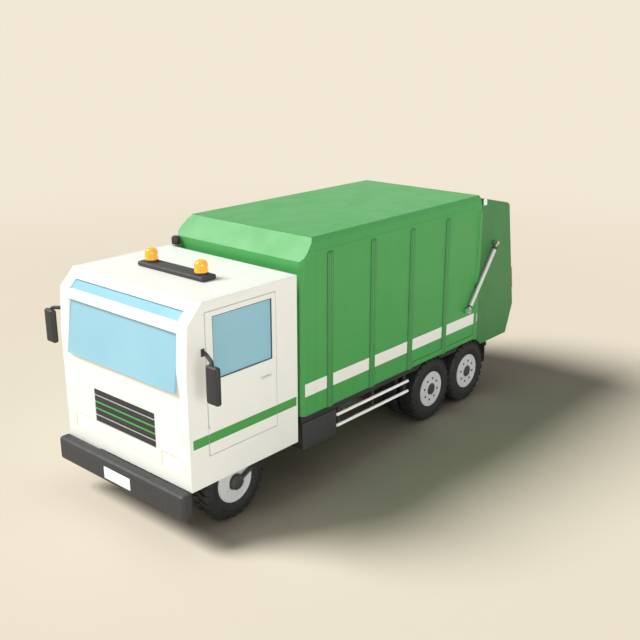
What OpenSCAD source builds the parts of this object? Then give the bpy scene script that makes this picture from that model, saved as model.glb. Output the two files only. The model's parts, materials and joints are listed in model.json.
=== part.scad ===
// Rear-loading refuse truck: low flat-faced cab, ribbed box body, lifting tailgate.
// +X is forward, +Y is the left-hand side, +Z is up. The ground is z = 0 and the
// origin is under the middle of the truck. All sizes are in millimetres.

/* [Cab] */
// Length of the cab from its flat front to its back wall
cab_len = 1875; // [1750:25:2300]
// Width of the cab over its side panels
cab_w = 2530; // [2400:10:3040]
// Height of the cab's lower edge above the ground
cab_z = 746; // [700:2:780]
// Height of the cab from its lower edge to the roof
cab_h = 2332; // [2250:4:2800]
// Thickness of the cab's walls and doors
cab_wall = 50; // [40:1:60]
// Thickness of the skirt that hides the top of the front wheel
skirt_t = 22; // [16:1:30]
// Height of the cab floor's top above the ground
floor_z = 1125; // [1115:1:1145]
// Height at which the front starts to lean back
kink_z = 2250; // [2180:10:2300]
// Lean of the upper front, from the kink to the brow
lean = 46; // [20:2:80]
// Height of the brow, where the sloping roof edge starts
brow_z = 2845; // [2800:5:2880]
// Length of the roof's sloping front edge, measured along the truck
brow_run = 225; // [150:5:300]

/* [Doors] */
// Distance of the door's front seam behind the cab's front
door_setback = 312; // [300:2:340]
// Length of a door
door_len = 1169; // [1050:1:1230]
// Height of a door's lower edge above the cab floor
door_lift = 6; // [5:1:12]
// Height of a door's upper edge above the ground
door_top_z = 2944; // [2920:2:2960]
// Seam round a door
seam = 6; // [5:0.5:8]
// Length of a door's window
window_len = 990; // [800:5:1030]
// Distance of the window behind the door's front edge
window_setback = 110; // [80:5:140]
// Height of the window's lower edge above the ground
window_z = 2080; // [1900:10:2200]
// Height of the window
window_h = 798; // [600:2:820]
// Thickness of a door's glass
door_glass_t = 8; // [5:1:12]

/* [Windscreen and front] */
// Half the width of the windscreen
screen_half = 1078; // [900:2:1120]
// Height of the windscreen's lower edge above the ground
screen_z = 2005; // [1950:5:2040]
// Height of the windscreen's upper edge above the ground
screen_top_z = 2722; // [2650:2:2730]
// Depth by which the windscreen's foot stands out of the front
screen_out = 50; // [30:1:70]
// Depth by which the windscreen's head is set back in its opening
screen_in = 34; // [30:1:60]
// Thickness of the windscreen
screen_t = 36; // [20:1:45]
// Height of the white cross bar above the windscreen
bar_h = 133; // [124:1:150]
// Height of the upper strip window
strip_h = 109; // [60:1:130]
// Half the width of the grille
grille_half = 622; // [450:2:680]
// Height of the grille's lower edge above the ground
grille_z = 1130; // [1080:5:1200]
// Height of the grille
grille_h = 470; // [300:5:520]
// Number of slats in the grille
slats = 5; // [3:1:7]
// Width of a head lamp
lamp_w = 360; // [250:5:400]
// Height of a head lamp
lamp_h = 200; // [150:5:220]
// Distance of a head lamp's centre from the truck's middle
lamp_y = 900; // [860:5:960]
// Height of a head lamp's centre above the ground
lamp_z = 1035; // [980:5:1060]

/* [Bumper] */
// Depth from the cab's front to the bumper's front
bumper_depth = 185; // [120:5:240]
// Height of the bumper's upper edge above the ground
bumper_top_z = 762; // [720:2:790]
// Height of the bumper
bumper_h = 332; // [220:4:340]
// Distance by which each end of the bumper stands out past the cab's side
bumper_out = 30; // [0:5:50]
// Size of the bumper's bevelled edges
bumper_bevel = 34; // [15:1:50]

/* [Body] */
// Gap between the cab's back and the body's front
cab_gap = 127; // [120:1:160]
// Length of the box body
body_len = 4348; // [4000:2:5220]
// Width over the body's flat side sheets
body_w = 2480; // [2350:10:2980]
// Height of the body's lower edge above the ground
body_z = 1046; // [1046:1:1090]
// Height of the body from its lower edge to its roof
body_h = 2439; // [2040:1:2930]
// Thickness of the body's walls and roof
body_wall = 40; // [30:1:50]
// Thickness of the body's floor
body_floor_t = 54; // [40:1:70]
// Height of the sloping front edge of the roof
slope_h = 277; // [150:1:320]
// Length of the sloping front edge of the roof
slope_run = 275; // [150:5:340]
// Height of the rounded shoulder along each side of the roof
shoulder_h = 175; // [100:5:200]
// Width of that shoulder
shoulder_w = 75; // [50:1:100]
// Number of ribs on each side
ribs = 5; // [3:1:6]
// Distance of the first rib's middle behind the body's front
rib_setback = 553; // [400:1:600]
// Width of a rib at its root
rib_w = 90; // [60:2:110]
// Depth of a rib
rib_d = 25; // [15:1:25]
// Distance of a rib's top below the body's roof
rib_drop = 220; // [200:5:260]

/* [Tailgate] */
// Gap between the body and the tailgate
tail_gap = 15; // [12:1:25]
// Depth of the tailgate from its front to its loading sill
tail_depth = 1180; // [1120:5:1400]
// Height of the tailgate's lower edge above the ground
tail_z = 901; // [890:1:940]
// Height of the loading sill above the ground
sill_z = 1405; // [1300:5:1450]
// Length of the tailgate's sloping roof
tail_roof_run = 860; // [700:5:900]
// Fall of the tailgate's roof over that length
tail_roof_drop = 190; // [120:5:220]
// Length of the tailgate's flat underside
tail_foot_run = 996; // [900:4:1010]
// Thickness of the tailgate's cheeks
cheek_t = 60; // [50:1:80]
// Height of the loading opening above the sill
mouth_h = 1195; // [900:5:1250]
// Distance of the packer's shaft behind the tailgate's front
packer_setback = 360; // [330:5:390]
// Radius of the packer's shaft
packer_shaft_r = 60; // [40:1:70]
// Angle at which the packer's blade rests, ahead of straight down
packer_rest = 15; // [0:1:18]
// Gap between the blade's tip and the hopper's curved floor
packer_clear = 12; // [8:1:20]
// Distance of the hinge's axis below the body's roof
hinge_drop = 45; // [40:1:60]

/* [Lift cylinders] */
// Distance of the lower pin ahead of the body's rear end
lift_foot_ahead = 375; // [330:5:420]
// Height of the lower pin above the ground
lift_foot_z = 1640; // [1600:5:1700]
// Distance of the upper pin behind the tailgate's front
lift_head_back = 400; // [360:5:420]
// Height of the upper pin above the ground
lift_head_z = 2645; // [2600:5:2700]
// Radius of a lift cylinder's barrel
barrel_r = 30; // [26:1:34]
// Radius of a lift cylinder's rod
rod_r = 18; // [14:1:20]

/* [Wheels] */
// Outer radius of a tyre
tyre_r = 520; // [480:1:520]
// Width of a tyre
tyre_w = 300; // [270:2:310]
// Radius of the rim under the tyre
rim_r = 290; // [270:1:300]
// Distance between the middles of twin tyres
twin_spacing = 345; // [330:1:360]
// Distance of the front axle behind the cab's front
front_setback = 840; // [820:5:900]
// Distance from the front axle to the first rear axle
wheelbase = 4223; // [4100:1:5070]
// Distance between the two rear axles
tandem = 1058; // [1056:1:1100]
// Distance of the rear tyres' outer faces from the truck's middle
rear_face_y = 1255; // [1200:1:1260]
// Distance of the front tyres' outer faces from the truck's middle
front_face_y = 1128; // [1080:1:1130]
// Distance of the king pins inboard of the front tyres' outer faces
king_inset = 328; // [318:1:345]
// Radius of a king pin
king_r = 25; // [20:1:30]
// Radius of a wheel spindle
spindle_r = 45; // [35:1:50]

/* [Frame] */
// Distance of a rail's inner face from the truck's middle
rail_y = 380; // [360:5:400]
// Width of a rail
rail_w = 75; // [60:1:90]
// Height of a rail's lower edge above the ground
rail_z = 690; // [670:5:710]
// Height of a rail
rail_h = 270; // [240:5:280]
// Height of the dark sill under the body
side_sill_h = 101; // [80:1:110]
// Distance of the sill's outer face inside the body's side
side_sill_inset = 35; // [20:1:60]

/* [Fittings] */
// Length of a side box
side_box_len = 713; // [500:1:760]
// Height of a side box
side_box_h = 400; // [300:5:420]
// Radius of a side guard's rod
guard_r = 18; // [12:1:22]
// Radius of the exhaust's stack
stack_r = 42; // [30:1:48]
// Radius of the exhaust's cap
stack_cap_r = 60; // [50:1:61]
// Half the length of the light bar
light_bar_half = 640; // [500:5:800]
// Depth of the light bar along the truck
light_bar_d = 250; // [180:5:280]
// Height of the light bar
light_bar_h = 65; // [50:1:80]
// Radius of a beacon
beacon_r = 90; // [70:1:100]
// Height of a beacon
beacon_h = 185; // [140:5:200]
// Width of a mirror's head
mirror_w = 200; // [150:5:220]
// Height of a mirror's head
mirror_h = 470; // [350:5:480]
// Depth of a mirror's head
mirror_d = 80; // [60:1:100]
// Radius of a tow pin's hole
tow_r = 20; // [15:1:25]

/* [Hidden] */

WHITE = "#f2f0e6";
GREEN = "#4fa25a";
TAIL_GREEN = "#3f8a4c";
DARK = "#474747";
BLACK = "#2c2c2c";
STEEL = "#b9bcbb";
GLASS = "#9fd6e6";
AMBER = "#ffab2e";
RED = "#b3261e";

fit = 0.05;        // radial clearance of a shaft or pin in its bore
touch = 0.3;       // clearance between curved or sliding faces
far = 4000;        // reaches past everything
fine = 128;        // facets of a large circle
round_fn = 64;     // facets of a small circle

// Places along the truck, from the front
truck_len = bumper_depth + cab_len + cab_gap + body_len + tail_gap + tail_depth;
cab_x1 = truck_len / 2 - bumper_depth;
cab_x0 = cab_x1 - cab_len;
body_x1 = cab_x0 - cab_gap;
body_x0 = body_x1 - body_len;
tail_x1 = body_x0 - tail_gap;
tail_x0 = tail_x1 - tail_depth;
front_x = cab_x1 - front_setback;
middle_x = front_x - wheelbase;
rear_x = middle_x - tandem;
bogie_x = (middle_x + rear_x) / 2;

// Cab
cab_y = cab_w / 2;
cab_in_y = cab_y - cab_wall;
cab_top = cab_z + cab_h;
panel_t = 45;      // thickness of the cab's front, roof, back and floor
door_x1 = cab_x1 - door_setback;
door_x0 = door_x1 - door_len;
door_z0 = floor_z + door_lift;
window_x1 = door_x1 - window_setback;
window_x0 = window_x1 - window_len;
hinge_seam = seam + 4;     // the seam is wider along the hinges, where the door's edge turns
hinge_axis = [door_x1 + 3, cab_y - 3];
hinge_pin_r = 8;
hinge_knuckle_r = 14;
hinge_knuckle_h = 110;
hinge_heights = [floor_z + 250, window_z - 150];
tunnel_y = 400;
tunnel_top = 1365;
tunnel_wall = 25;
tunnel_x1 = cab_x1 - 190;

// Body
body_y = body_w / 2;
body_in_y = body_y - body_wall;
body_top = body_z + body_h;
body_floor_top = body_z + body_floor_t;
shoulder_z = body_top - shoulder_h;
corner = 50;       // bevel on the body's upright front corners
inner_corner = 30; // the same bevel inside the walls
rib_pitch = (body_len - rib_setback - rib_w / 2 - 2) / (ribs - 1);
rib_top = body_top - rib_drop;

// Tailgate
tail_hinge = [body_x0 - tail_gap / 2, body_top - hinge_drop];
tail_top = tail_hinge[1];
hinge_r = 30;
hinge_pin = 18;
cheek_in = body_y - cheek_t;
tail_roof_x = tail_x1 - tail_roof_run;
tail_roof_z = tail_top - tail_roof_drop;
mouth_top = sill_z + mouth_h;
sill_lip = 25;
// The hopper's floor is an arc about the packer's shaft, through the body's floor and the sill
packer_x = tail_x1 - packer_setback;
arc_rear = tail_depth - packer_setback - sill_lip;
arc_fall = sill_z - body_floor_top;
arc_rise = (arc_rear * arc_rear - packer_setback * packer_setback + arc_fall * arc_fall) / (2 * arc_fall);
packer_z = body_floor_top + arc_rise;
hopper_r = sqrt(arc_rise * arc_rise + packer_setback * packer_setback);
blade_r = hopper_r - packer_clear;
blade_t = 80;
blade_tube = 40;
blade_y = cheek_in - 20;

// Lift cylinders
lift_y = body_y + rib_d + barrel_r + 14;
lift_foot = [body_x0 + lift_foot_ahead, lift_foot_z];
lift_head = [tail_x1 - lift_head_back, lift_head_z];
lift_run = lift_head - lift_foot;
lift_len = norm(lift_run);
lift_tilt = atan2(lift_run[1], lift_run[0]);
lift_pin_r = 20;
lift_eye_r = 42;
barrel_len = lift_len - 78;
rod_in = 150;      // where the rod's inner end lies at rest, from the lower pin
boss_y = lift_y - barrel_r - 7;

// Wheels
king_y = front_face_y - king_inset;
king_z0 = tyre_r - 109;   // ends of the king pins, below and above the axle's eyes
king_z1 = tyre_r + 107;
axle_z0 = tyre_r - 121;   // underside of the front axle's beam
axle_h = 100;
eye_r = 58;
rim_t = 28;
disc_t = 16;
hub_cap_r = 110;
rim_recess = 22;
knuckle_plate = 25;
front_hub_in = front_face_y - king_y - eye_r - 7 - knuckle_plate - 25;
rear_hub_in = tyre_w / 2 + twin_spacing + tyre_w / 2 + 5;
axle_tube_end = rear_face_y - rear_hub_in - 10;
rim_half = 128;
bead_half = 105;

// Frame
rail_top = rail_z + rail_h;
cross_z = rail_top - 200;
rail_y1 = rail_y + rail_w;
tilt_pivot = [cab_x1 - 80, cab_z + 104];
tilt_pin_r = 25;
tilt_y0 = rail_y1 + 8;
tilt_y1 = tilt_y0 + 32;
frame_x1 = cab_x1 - 170;
frame_x0 = body_x0 + 15;
side_sill_y = body_y - side_sill_inset;
side_sill_t = 40;
side_sill_z = body_z - side_sill_h;
arch_r = tyre_r + 14;
bearer_w = 70;
bearer_places = [body_x1 - 120, body_x1 - 870, body_x1 - 1620, middle_x + tyre_r + 170, bogie_x];
flap_x = rear_x - tyre_r - 35;
flap_t = 10;
bar_h_rear = 60;
bar_d_rear = 48;
bar_top_rear = tail_z - 21;
rear_bar_x0 = flap_x - flap_t;   // where the rails' rear arms end and the cross bar begins
tow_x0 = frame_x1 - 60;
tow_x1 = cab_x1 + 50;
tow_z = bumper_top_z - bumper_h - 50;
tow_t = 40;

// Fittings
side_box_x1 = body_x1 - 8;
side_box_x0 = side_box_x1 - side_box_len;
side_box_y1 = side_sill_y + 27;
side_box_depth = 380;
guard_x1 = side_box_x0 - 12;
guard_x0 = middle_x + tyre_r + 100;
stack_x = (cab_x0 + body_x1) / 2;
stack_y = cab_y - 93;
stack_top = cab_top + 138;
stack_cap_h = 121;
mirror_x = cab_x1 - 85;
mirror_y = cab_y + 365;
mirror_z = 2215;
seat_x = cab_x0 + 480;
seat_y = 640;
wheel_tilt = 28;

// A box from its lowest and highest corners
module block(low, high) {
    translate(low) cube(high - low);
}

// An outline in the XZ plane, thickened across the truck from y0 to y1
module across(outline, y0, y1) {
    translate([0, y1, 0]) rotate([90, 0, 0]) linear_extrude(y1 - y0) polygon(outline);
}

// A round bar across the truck
module bar_y(x, z, r, y0, y1, fn = round_fn) {
    translate([x, y0, z]) rotate([-90, 0, 0]) cylinder(r = r, h = y1 - y0, $fn = fn);
}

// A round bar along the truck
module bar_x(x0, x1, y, z, r) {
    translate([x0, y, z]) rotate([0, 90, 0]) cylinder(r = r, h = x1 - x0, $fn = round_fn);
}

// The children and their mirror image on the other side
module both_sides() {
    children();
    mirror([0, 1, 0]) children();
}

// The children on the left, or their mirror image on the right
module on_side(side) {
    if (side > 0) children();
    else mirror([0, 1, 0]) children();
}

// ---------------------------------------------------------------- frame and running gear

// A rail with its subframe, the rest under the back of the cab, the bumper's bracket and the
// arm that carries the rear cross bar
module frame_rails() {
    color(BLACK) both_sides() {
        block([frame_x0, rail_y, rail_z], [frame_x1, rail_y1, rail_top]);
        block([frame_x0, rail_y, rail_top - 1], [body_x1, rail_y1, body_z]);
        block([cab_x0 + 60, rail_y, rail_top - 1], [cab_x0 + 140, rail_y1, floor_z - panel_t - touch]);
        block([rear_bar_x0, rail_y, bar_top_rear - 100], [frame_x0 + 1, rail_y1, bar_top_rear]);
        bumper_bracket();
    }
}

// Bracket under a rail's end that carries the bumper, and the arm with the cab's tilt pin
module bumper_bracket() {
    block([frame_x1 - 40, rail_y, rail_z - 130], [cab_x1 + 5, rail_y1, rail_z]);
    block([frame_x1 - 1, rail_y, tilt_pivot[1] - 20], [tilt_pivot[0], rail_y1, tilt_pivot[1] + 25]);
    bar_y(tilt_pivot[0], tilt_pivot[1], tilt_pin_r + 3, rail_y, rail_y1);
    bar_y(tilt_pivot[0], tilt_pivot[1], tilt_pin_r, rail_y, tilt_y1 + 6);
}

// Cross members between the rails
module cross_members() {
    color(BLACK) for (x = [frame_x1 - 60, body_x1 - 600, middle_x + 700, bogie_x, frame_x0])
        block([x, -rail_y, cross_z], [x + 60, rail_y, rail_top - 30]);
}

// Bearers under the body's floor, between the subframes and out to the sills
module bearers() {
    color(BLACK) for (x = bearer_places) {
        block([x - bearer_w / 2, -rail_y, rail_top], [x + bearer_w / 2, rail_y, body_z]);
        both_sides()
            block([x - bearer_w / 2, rail_y1, rail_top],
                  [x + bearer_w / 2, side_sill_y - side_sill_t, body_z]);
    }
}

// Dark sill under the body's side, cut round the rear wheels
module side_sills() {
    color(BLACK) both_sides() difference() {
        block([rear_x, side_sill_y - side_sill_t, side_sill_z], [body_x1, side_sill_y, body_z]);
        for (x = [middle_x, rear_x])
            bar_y(x, tyre_r, arch_r, side_sill_y - side_sill_t - 1, side_sill_y + 1, fine);
    }
}

// Rear cross bar across the rails' rear arms, with the plate for the rear tow pin
module rear_bar() {
    hole_x = rear_bar_x0 - bar_d_rear - 55;
    color(BLACK) difference() {
        union() {
            block([rear_bar_x0 - bar_d_rear, -rear_face_y + 15, bar_top_rear - bar_h_rear],
                  [rear_bar_x0, rear_face_y - 15, bar_top_rear]);
            block([hole_x - 45, -60, bar_top_rear - bar_h_rear + 10],
                  [rear_bar_x0 - bar_d_rear + 1, 60, bar_top_rear - 10]);
        }
        translate([hole_x, 0, bar_top_rear - bar_h_rear])
            cylinder(r = tow_r, h = bar_h_rear, $fn = round_fn);
    }
}

// Plate for the front tow pin under the bumper, on a post under the front cross member
module tow_plate() {
    color(BLACK) difference() {
        union() {
            block([tow_x0, -50, tow_z], [tow_x1, 50, tow_z + tow_t]);
            block([tow_x0, -50, tow_z + tow_t - 1], [tow_x0 + 60, 50, cross_z]);
        }
        translate([tow_x1 - 45, 0, tow_z - 1]) cylinder(r = tow_r, h = tow_t + 2, $fn = round_fn);
    }
}

module front_bumper() {
    x0 = cab_x1 + 5;
    x1 = cab_x1 + bumper_depth;
    z1 = bumper_top_z;
    z0 = z1 - bumper_h;
    y1 = cab_y + bumper_out;
    b = bumper_bevel;
    color(DARK) intersection() {
        across([[x0, z0], [x1 - b, z0], [x1, z0 + b], [x1, z1 - b], [x1 - b, z1], [x0, z1]], -y1, y1);
        translate([0, 0, z0]) linear_extrude(bumper_h)
            polygon([[x0, -y1], [x1 - b, -y1], [x1, b - y1], [x1, y1 - b], [x1 - b, y1], [x0, y1]]);
    }
}

module front_axle() {
    spring_half = 600;
    color(BLACK) difference() {
        union() {
            block([front_x - 55, -king_y + 85, axle_z0], [front_x + 55, king_y - 85, axle_z0 + axle_h]);
            both_sides() {
                translate([front_x, king_y, king_z0 + 46])
                    cylinder(r = eye_r, h = king_z1 - king_z0 - 92, $fn = round_fn);
                block([front_x - 45, king_y - 110, king_z0 + 46], [front_x + 45, king_y, king_z1 - 46]);
                // leaf spring and its hangers
                block([front_x - spring_half, rail_y, axle_z0 + axle_h],
                      [front_x + spring_half, rail_y1, axle_z0 + axle_h + 55]);
                for (s = [-1, 1])
                    block([front_x + s * (spring_half - 30) - 30, rail_y, axle_z0 + axle_h + 55],
                          [front_x + s * (spring_half - 30) + 30, rail_y1, rail_z]);
            }
        }
        both_sides() translate([front_x, king_y, 0]) cylinder(r = king_r + fit, h = far, $fn = round_fn);
    }
}

module knuckle(side) {
    plate_y = king_y + eye_r + 7;
    color(BLACK) on_side(side) {
        translate([front_x, king_y, king_z0]) cylinder(r = king_r, h = king_z1 - king_z0, $fn = round_fn);
        for (z = [king_z0, king_z1 - 40]) {
            translate([front_x, king_y, z]) cylinder(r = eye_r - 3, h = 40, $fn = round_fn);
            block([front_x - 50, king_y, z], [front_x + 50, plate_y + 1, z + 40]);
        }
        block([front_x - 60, plate_y, king_z0], [front_x + 60, plate_y + knuckle_plate, king_z1]);
        // brake plate and spindle
        bar_y(front_x, tyre_r, 200, plate_y + knuckle_plate - 1, plate_y + knuckle_plate + 12);
        bar_y(front_x, tyre_r, spindle_r, plate_y, front_face_y - 62);
    }
}

module rear_axles() {
    case_r = 190;
    color(BLACK) {
        for (x = [middle_x, rear_x]) {
            bar_y(x, tyre_r, 70, -axle_tube_end, axle_tube_end);
            bar_y(x, tyre_r, case_r, -130, 130);
            bar_y(x, tyre_r, spindle_r, -rear_face_y + 62, rear_face_y - 62);
            both_sides() block([x - 60, rail_y, tyre_r], [x + 60, rail_y1, tyre_r + 85]);
        }
        bar_x(middle_x, middle_x + 230, 0, tyre_r + 80, 75);
        bar_x(rear_x, middle_x, 0, tyre_r + 80, 50);
        // rocking spring beam, on a saddle under each rail
        both_sides() {
            block([rear_x - 80, rail_y, tyre_r + 85], [middle_x + 80, rail_y1, tyre_r + 150]);
            block([bogie_x - 110, rail_y, tyre_r + 150], [bogie_x + 110, rail_y1, rail_z]);
        }
    }
}

module driveline() {
    engine_y = rail_y - 45;
    engine_x1 = front_x + 520;
    engine_x0 = engine_x1 - 1080;
    gearbox_x0 = engine_x0 - 560;
    color(DARK) {
        block([engine_x0, -engine_y, axle_z0 + axle_h + 70], [engine_x1, engine_y, tunnel_top - tunnel_wall - 40]);
        block([gearbox_x0, -230, tyre_r + 100], [engine_x0, 230, rail_top + 60]);
        both_sides() for (x = [engine_x0 + 80, engine_x1 - 180])
            block([x, engine_y, rail_top - 180], [x + 100, rail_y, rail_top - 100]);
        bar_x(middle_x + 230, gearbox_x0, 0, tyre_r + 80, 45);
        block([gearbox_x0, -60, tyre_r + 30], [gearbox_x0 + 60, 60, tyre_r + 130]);
    }
}

// ---------------------------------------------------------------- wheels
// Each wheel is drawn about the Z axis with its outer face at z = 0 and moved into place.

module place_wheel(x, side, face_y) {
    translate([x, side * face_y, tyre_r]) rotate([side > 0 ? -90 : 90, 0, 0]) children();
}

module tyres(count) {
    h = tyre_w / 2;
    color(BLACK) for (i = [0 : count - 1])
        translate([0, 0, -h - i * twin_spacing]) rotate_extrude($fn = fine)
            polygon([
                [rim_r, -bead_half], [rim_r + 40, 10 - h], [400, -h], [tyre_r - 41, 12 - h],
                [tyre_r - 9, 38 - h], [tyre_r, 65 - h], [tyre_r, h - 65], [tyre_r - 9, h - 38],
                [tyre_r - 41, h - 12], [400, h], [rim_r + 40, h - 10], [rim_r, bead_half]
            ]);
}

module rims(count, hub_in, cap_out) {
    hub_r = 120;
    h = tyre_w / 2;
    color(STEEL) difference() {
        union() {
            for (i = [0 : count - 1]) translate([0, 0, -h - i * twin_spacing]) {
                difference() {
                    translate([0, 0, -rim_half]) cylinder(r = rim_r - touch, h = 2 * rim_half, $fn = fine);
                    translate([0, 0, -rim_half - 1]) cylinder(r = rim_r - rim_t, h = 2 * rim_half + 2, $fn = fine);
                }
                translate([0, 0, rim_half - disc_t]) cylinder(r = rim_r - rim_t + 1, h = disc_t, $fn = fine);
            }
            translate([0, 0, -hub_in]) cylinder(r = hub_r, h = hub_in - rim_recess, $fn = round_fn);
            translate([0, 0, -rim_recess - 1]) cylinder(r = hub_cap_r, h = cap_out + rim_recess + 1, $fn = round_fn);
        }
        translate([0, 0, -hub_in - 1]) cylinder(r = spindle_r + fit, h = hub_in - 50, $fn = round_fn);
    }
}

module front_tyre(side) {
    place_wheel(front_x, side, front_face_y) tyres(1);
}

module front_rim(side) {
    place_wheel(front_x, side, front_face_y) rims(1, front_hub_in, 58);
}

module twin_tyres(x, side) {
    place_wheel(x, side, rear_face_y) tyres(2);
}

module twin_rims(x, side) {
    place_wheel(x, side, rear_face_y) rims(2, rear_hub_in, 8);
}

// ---------------------------------------------------------------- fittings along the chassis

module side_boxes() {
    color(DARK) both_sides()
        block([side_box_x0, side_box_y1 - side_box_depth, side_sill_z - side_box_h],
              [side_box_x1, side_box_y1, side_sill_z]);
}

module side_guards() {
    color(WHITE) both_sides() for (drop = [100, 267])
        bar_x(guard_x0, guard_x1, side_sill_y + guard_r, side_sill_z - drop, guard_r);
}

// Posts that hang from the sill behind the guard rods
module guard_posts() {
    color(BLACK) both_sides() for (x = [guard_x0 + 60, (guard_x0 + guard_x1) / 2, guard_x1 - 60])
        block([x - 25, side_sill_y - side_sill_t, side_sill_z - 300], [x + 25, side_sill_y, side_sill_z]);
}

module exhaust_stack() {
    foot_z = 860;
    color(STEEL) {
        translate([stack_x, -stack_y, foot_z]) cylinder(r = stack_r, h = stack_top - foot_z - 20, $fn = round_fn);
        bar_y(stack_x, foot_z, stack_r, -stack_y, -rail_y1);
        translate([stack_x, -stack_y, stack_top - stack_cap_h]) cylinder(r = stack_cap_r, h = stack_cap_h, $fn = round_fn);
    }
}

module mud_flaps() {
    color(BLACK) both_sides()
        block([flap_x - flap_t, rail_y1 + 170, bar_top_rear - 350], [flap_x, rear_face_y - 15, bar_top_rear]);
}

// ---------------------------------------------------------------- body

// The body's cross section, drawn inside its walls by the inset
function body_section(inset) = [
    [-body_y + inset, body_z], [body_y - inset, body_z],
    [body_y - inset, shoulder_z], [body_y - inset - shoulder_w / 3, body_top - inset - shoulder_h * 0.37],
    [body_y - inset - shoulder_w, body_top - inset], [-body_y + inset + shoulder_w, body_top - inset],
    [-body_y + inset + shoulder_w / 3, body_top - inset - shoulder_h * 0.37], [-body_y + inset, shoulder_z]
];

// The body's side view, drawn inside its walls by the inset, open at the rear
function body_profile(inset, rear) = [
    [rear, body_z], [body_x1 - inset, body_z], [body_x1 - inset, body_top - slope_h],
    [body_x1 - slope_run, body_top - inset * 1.3], [rear, body_top - inset * 1.3]
];

module body_form(inset, rear, bevel) {
    intersection() {
        translate([rear, 0, 0]) rotate([90, 0, 90]) linear_extrude(body_x1 - rear) polygon(body_section(inset));
        across(inset == 0 ? body_profile(0, rear) : body_profile(inset, rear), -body_y, body_y);
        translate([0, 0, body_z]) linear_extrude(body_h) polygon([
            [rear, -body_y], [body_x1 - inset - bevel, -body_y], [body_x1 - inset, inset + bevel - body_y],
            [body_x1 - inset, body_y - inset - bevel], [body_x1 - inset - bevel, body_y], [rear, body_y]
        ]);
    }
}

module body_shell() {
    difference() {
        body_form(0, body_x0, corner);
        body_form(body_wall, body_x0 - 1, inner_corner);
    }
}

body_front_x = body_x1 - slope_run;

module body_floor() {
    x1 = body_x1 - body_wall;
    color(GREEN) translate([0, 0, body_z]) linear_extrude(body_floor_t) polygon([
        [body_x0, -body_in_y], [x1 - inner_corner, -body_in_y], [x1, inner_corner - body_in_y],
        [x1, body_in_y - inner_corner], [x1 - inner_corner, body_in_y], [body_x0, body_in_y]
    ]);
}

module body_sides() {
    rail_h_low = 76;
    color(GREEN) difference() {
        union() {
            intersection() {
                body_shell();
                block([body_x0, -body_y, body_z], [body_front_x, body_y, shoulder_z]);
            }
            both_sides() {
                for (i = [0 : ribs - 1]) rib(body_x1 - rib_setback - i * rib_pitch);
                // low rail from the third rib to the rear
                block([body_x0, body_y - 1, body_z + 16],
                      [body_x1 - rib_setback - 2 * rib_pitch, body_y + 18, body_z + 16 + rail_h_low]);
                bar_y(lift_foot[0], lift_foot[1], 48, body_y - 1, boss_y);
                bar_y(lift_foot[0], lift_foot[1], lift_pin_r, body_y - 1, lift_y + barrel_r + 4);
            }
        }
        // clear of the ejector and of the floor between the walls
        block([body_x0 - 1, -body_in_y, body_z - 1], [body_x1, body_in_y, body_top]);
    }
}

// A pressed rib with sloping flanks and a sloping top
module rib(x) {
    w = rib_w / 2;
    flank = 16;
    intersection() {
        translate([0, 0, body_z]) linear_extrude(rib_top - body_z) polygon([
            [x - w, body_y - 1], [x + w, body_y - 1], [x + w, body_y], [x + w - flank, body_y + rib_d],
            [x - w + flank, body_y + rib_d], [x - w, body_y]
        ]);
        translate([x - w, 0, 0]) rotate([90, 0, 90]) linear_extrude(rib_w) polygon([
            [body_y - 1, body_z], [body_y + rib_d, body_z], [body_y + rib_d, rib_top - 1.5 * rib_d],
            [body_y, rib_top], [body_y - 1, rib_top]
        ]);
    }
}

module body_roof() {
    color(GREEN) difference() {
        union() {
            intersection() {
                body_shell();
                block([body_x0, -body_y, shoulder_z], [body_front_x, body_y, body_top]);
            }
            both_sides() {
                bar_y(tail_hinge[0], tail_hinge[1], hinge_r, hinge_lug_y(), hinge_lug_y() + 30);
                bar_y(tail_hinge[0], tail_hinge[1], hinge_pin, hinge_lug_y() - 38, hinge_lug_y() + 1);
            }
        }
        both_sides() difference() {
            bar_y(tail_hinge[0], tail_hinge[1], hinge_r + 6, hinge_lug_y() - 40, hinge_lug_y());
            bar_y(tail_hinge[0], tail_hinge[1], hinge_pin, hinge_lug_y() - 38, hinge_lug_y() + 1);
        }
    }
}

function hinge_lug_y() = body_y - 130;

module body_front() {
    color(GREEN) intersection() {
        body_shell();
        block([body_front_x, -body_y, body_z], [body_x1, body_y, body_top]);
    }
}

// The ejector's plate stands on two runners on the body's floor
ejector_x = body_x1 - 440;

module ejector_panel() {
    ejector_t = 60;
    color(STEEL) {
        block([ejector_x - ejector_t, -body_in_y + 10, body_floor_top + 10], [ejector_x, body_in_y - 10, shoulder_z - 60]);
        both_sides() {
            block([ejector_x - ejector_t, 700, body_floor_top + touch], [ejector_x + 90, 860, body_floor_top + 60]);
            // brace between the runner and the plate
            across([[ejector_x - 1, body_floor_top + 50], [ejector_x + 90, body_floor_top + 50],
                    [ejector_x - 1, body_floor_top + 1300]], 740, 820);
        }
    }
}

// ---------------------------------------------------------------- cab

cab_profile = [
    [cab_x0, cab_z], [cab_x1, cab_z], [cab_x1, kink_z], [cab_x1 - lean, brow_z],
    [cab_x1 - lean - brow_run, cab_top], [cab_x0, cab_top]
];

// The front of the cab seen from the side: the outer line and the same line inside the wall
front_skin = [
    [cab_x1, cab_z], [cab_x1, kink_z], [cab_x1 - lean, brow_z], [cab_x1 - lean - brow_run, cab_top],
    [cab_x1 - lean - brow_run, cab_top - panel_t], [cab_x1 - lean - panel_t, brow_z - 20],
    [cab_x1 - panel_t, kink_z], [cab_x1 - panel_t, cab_z]
];

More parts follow.
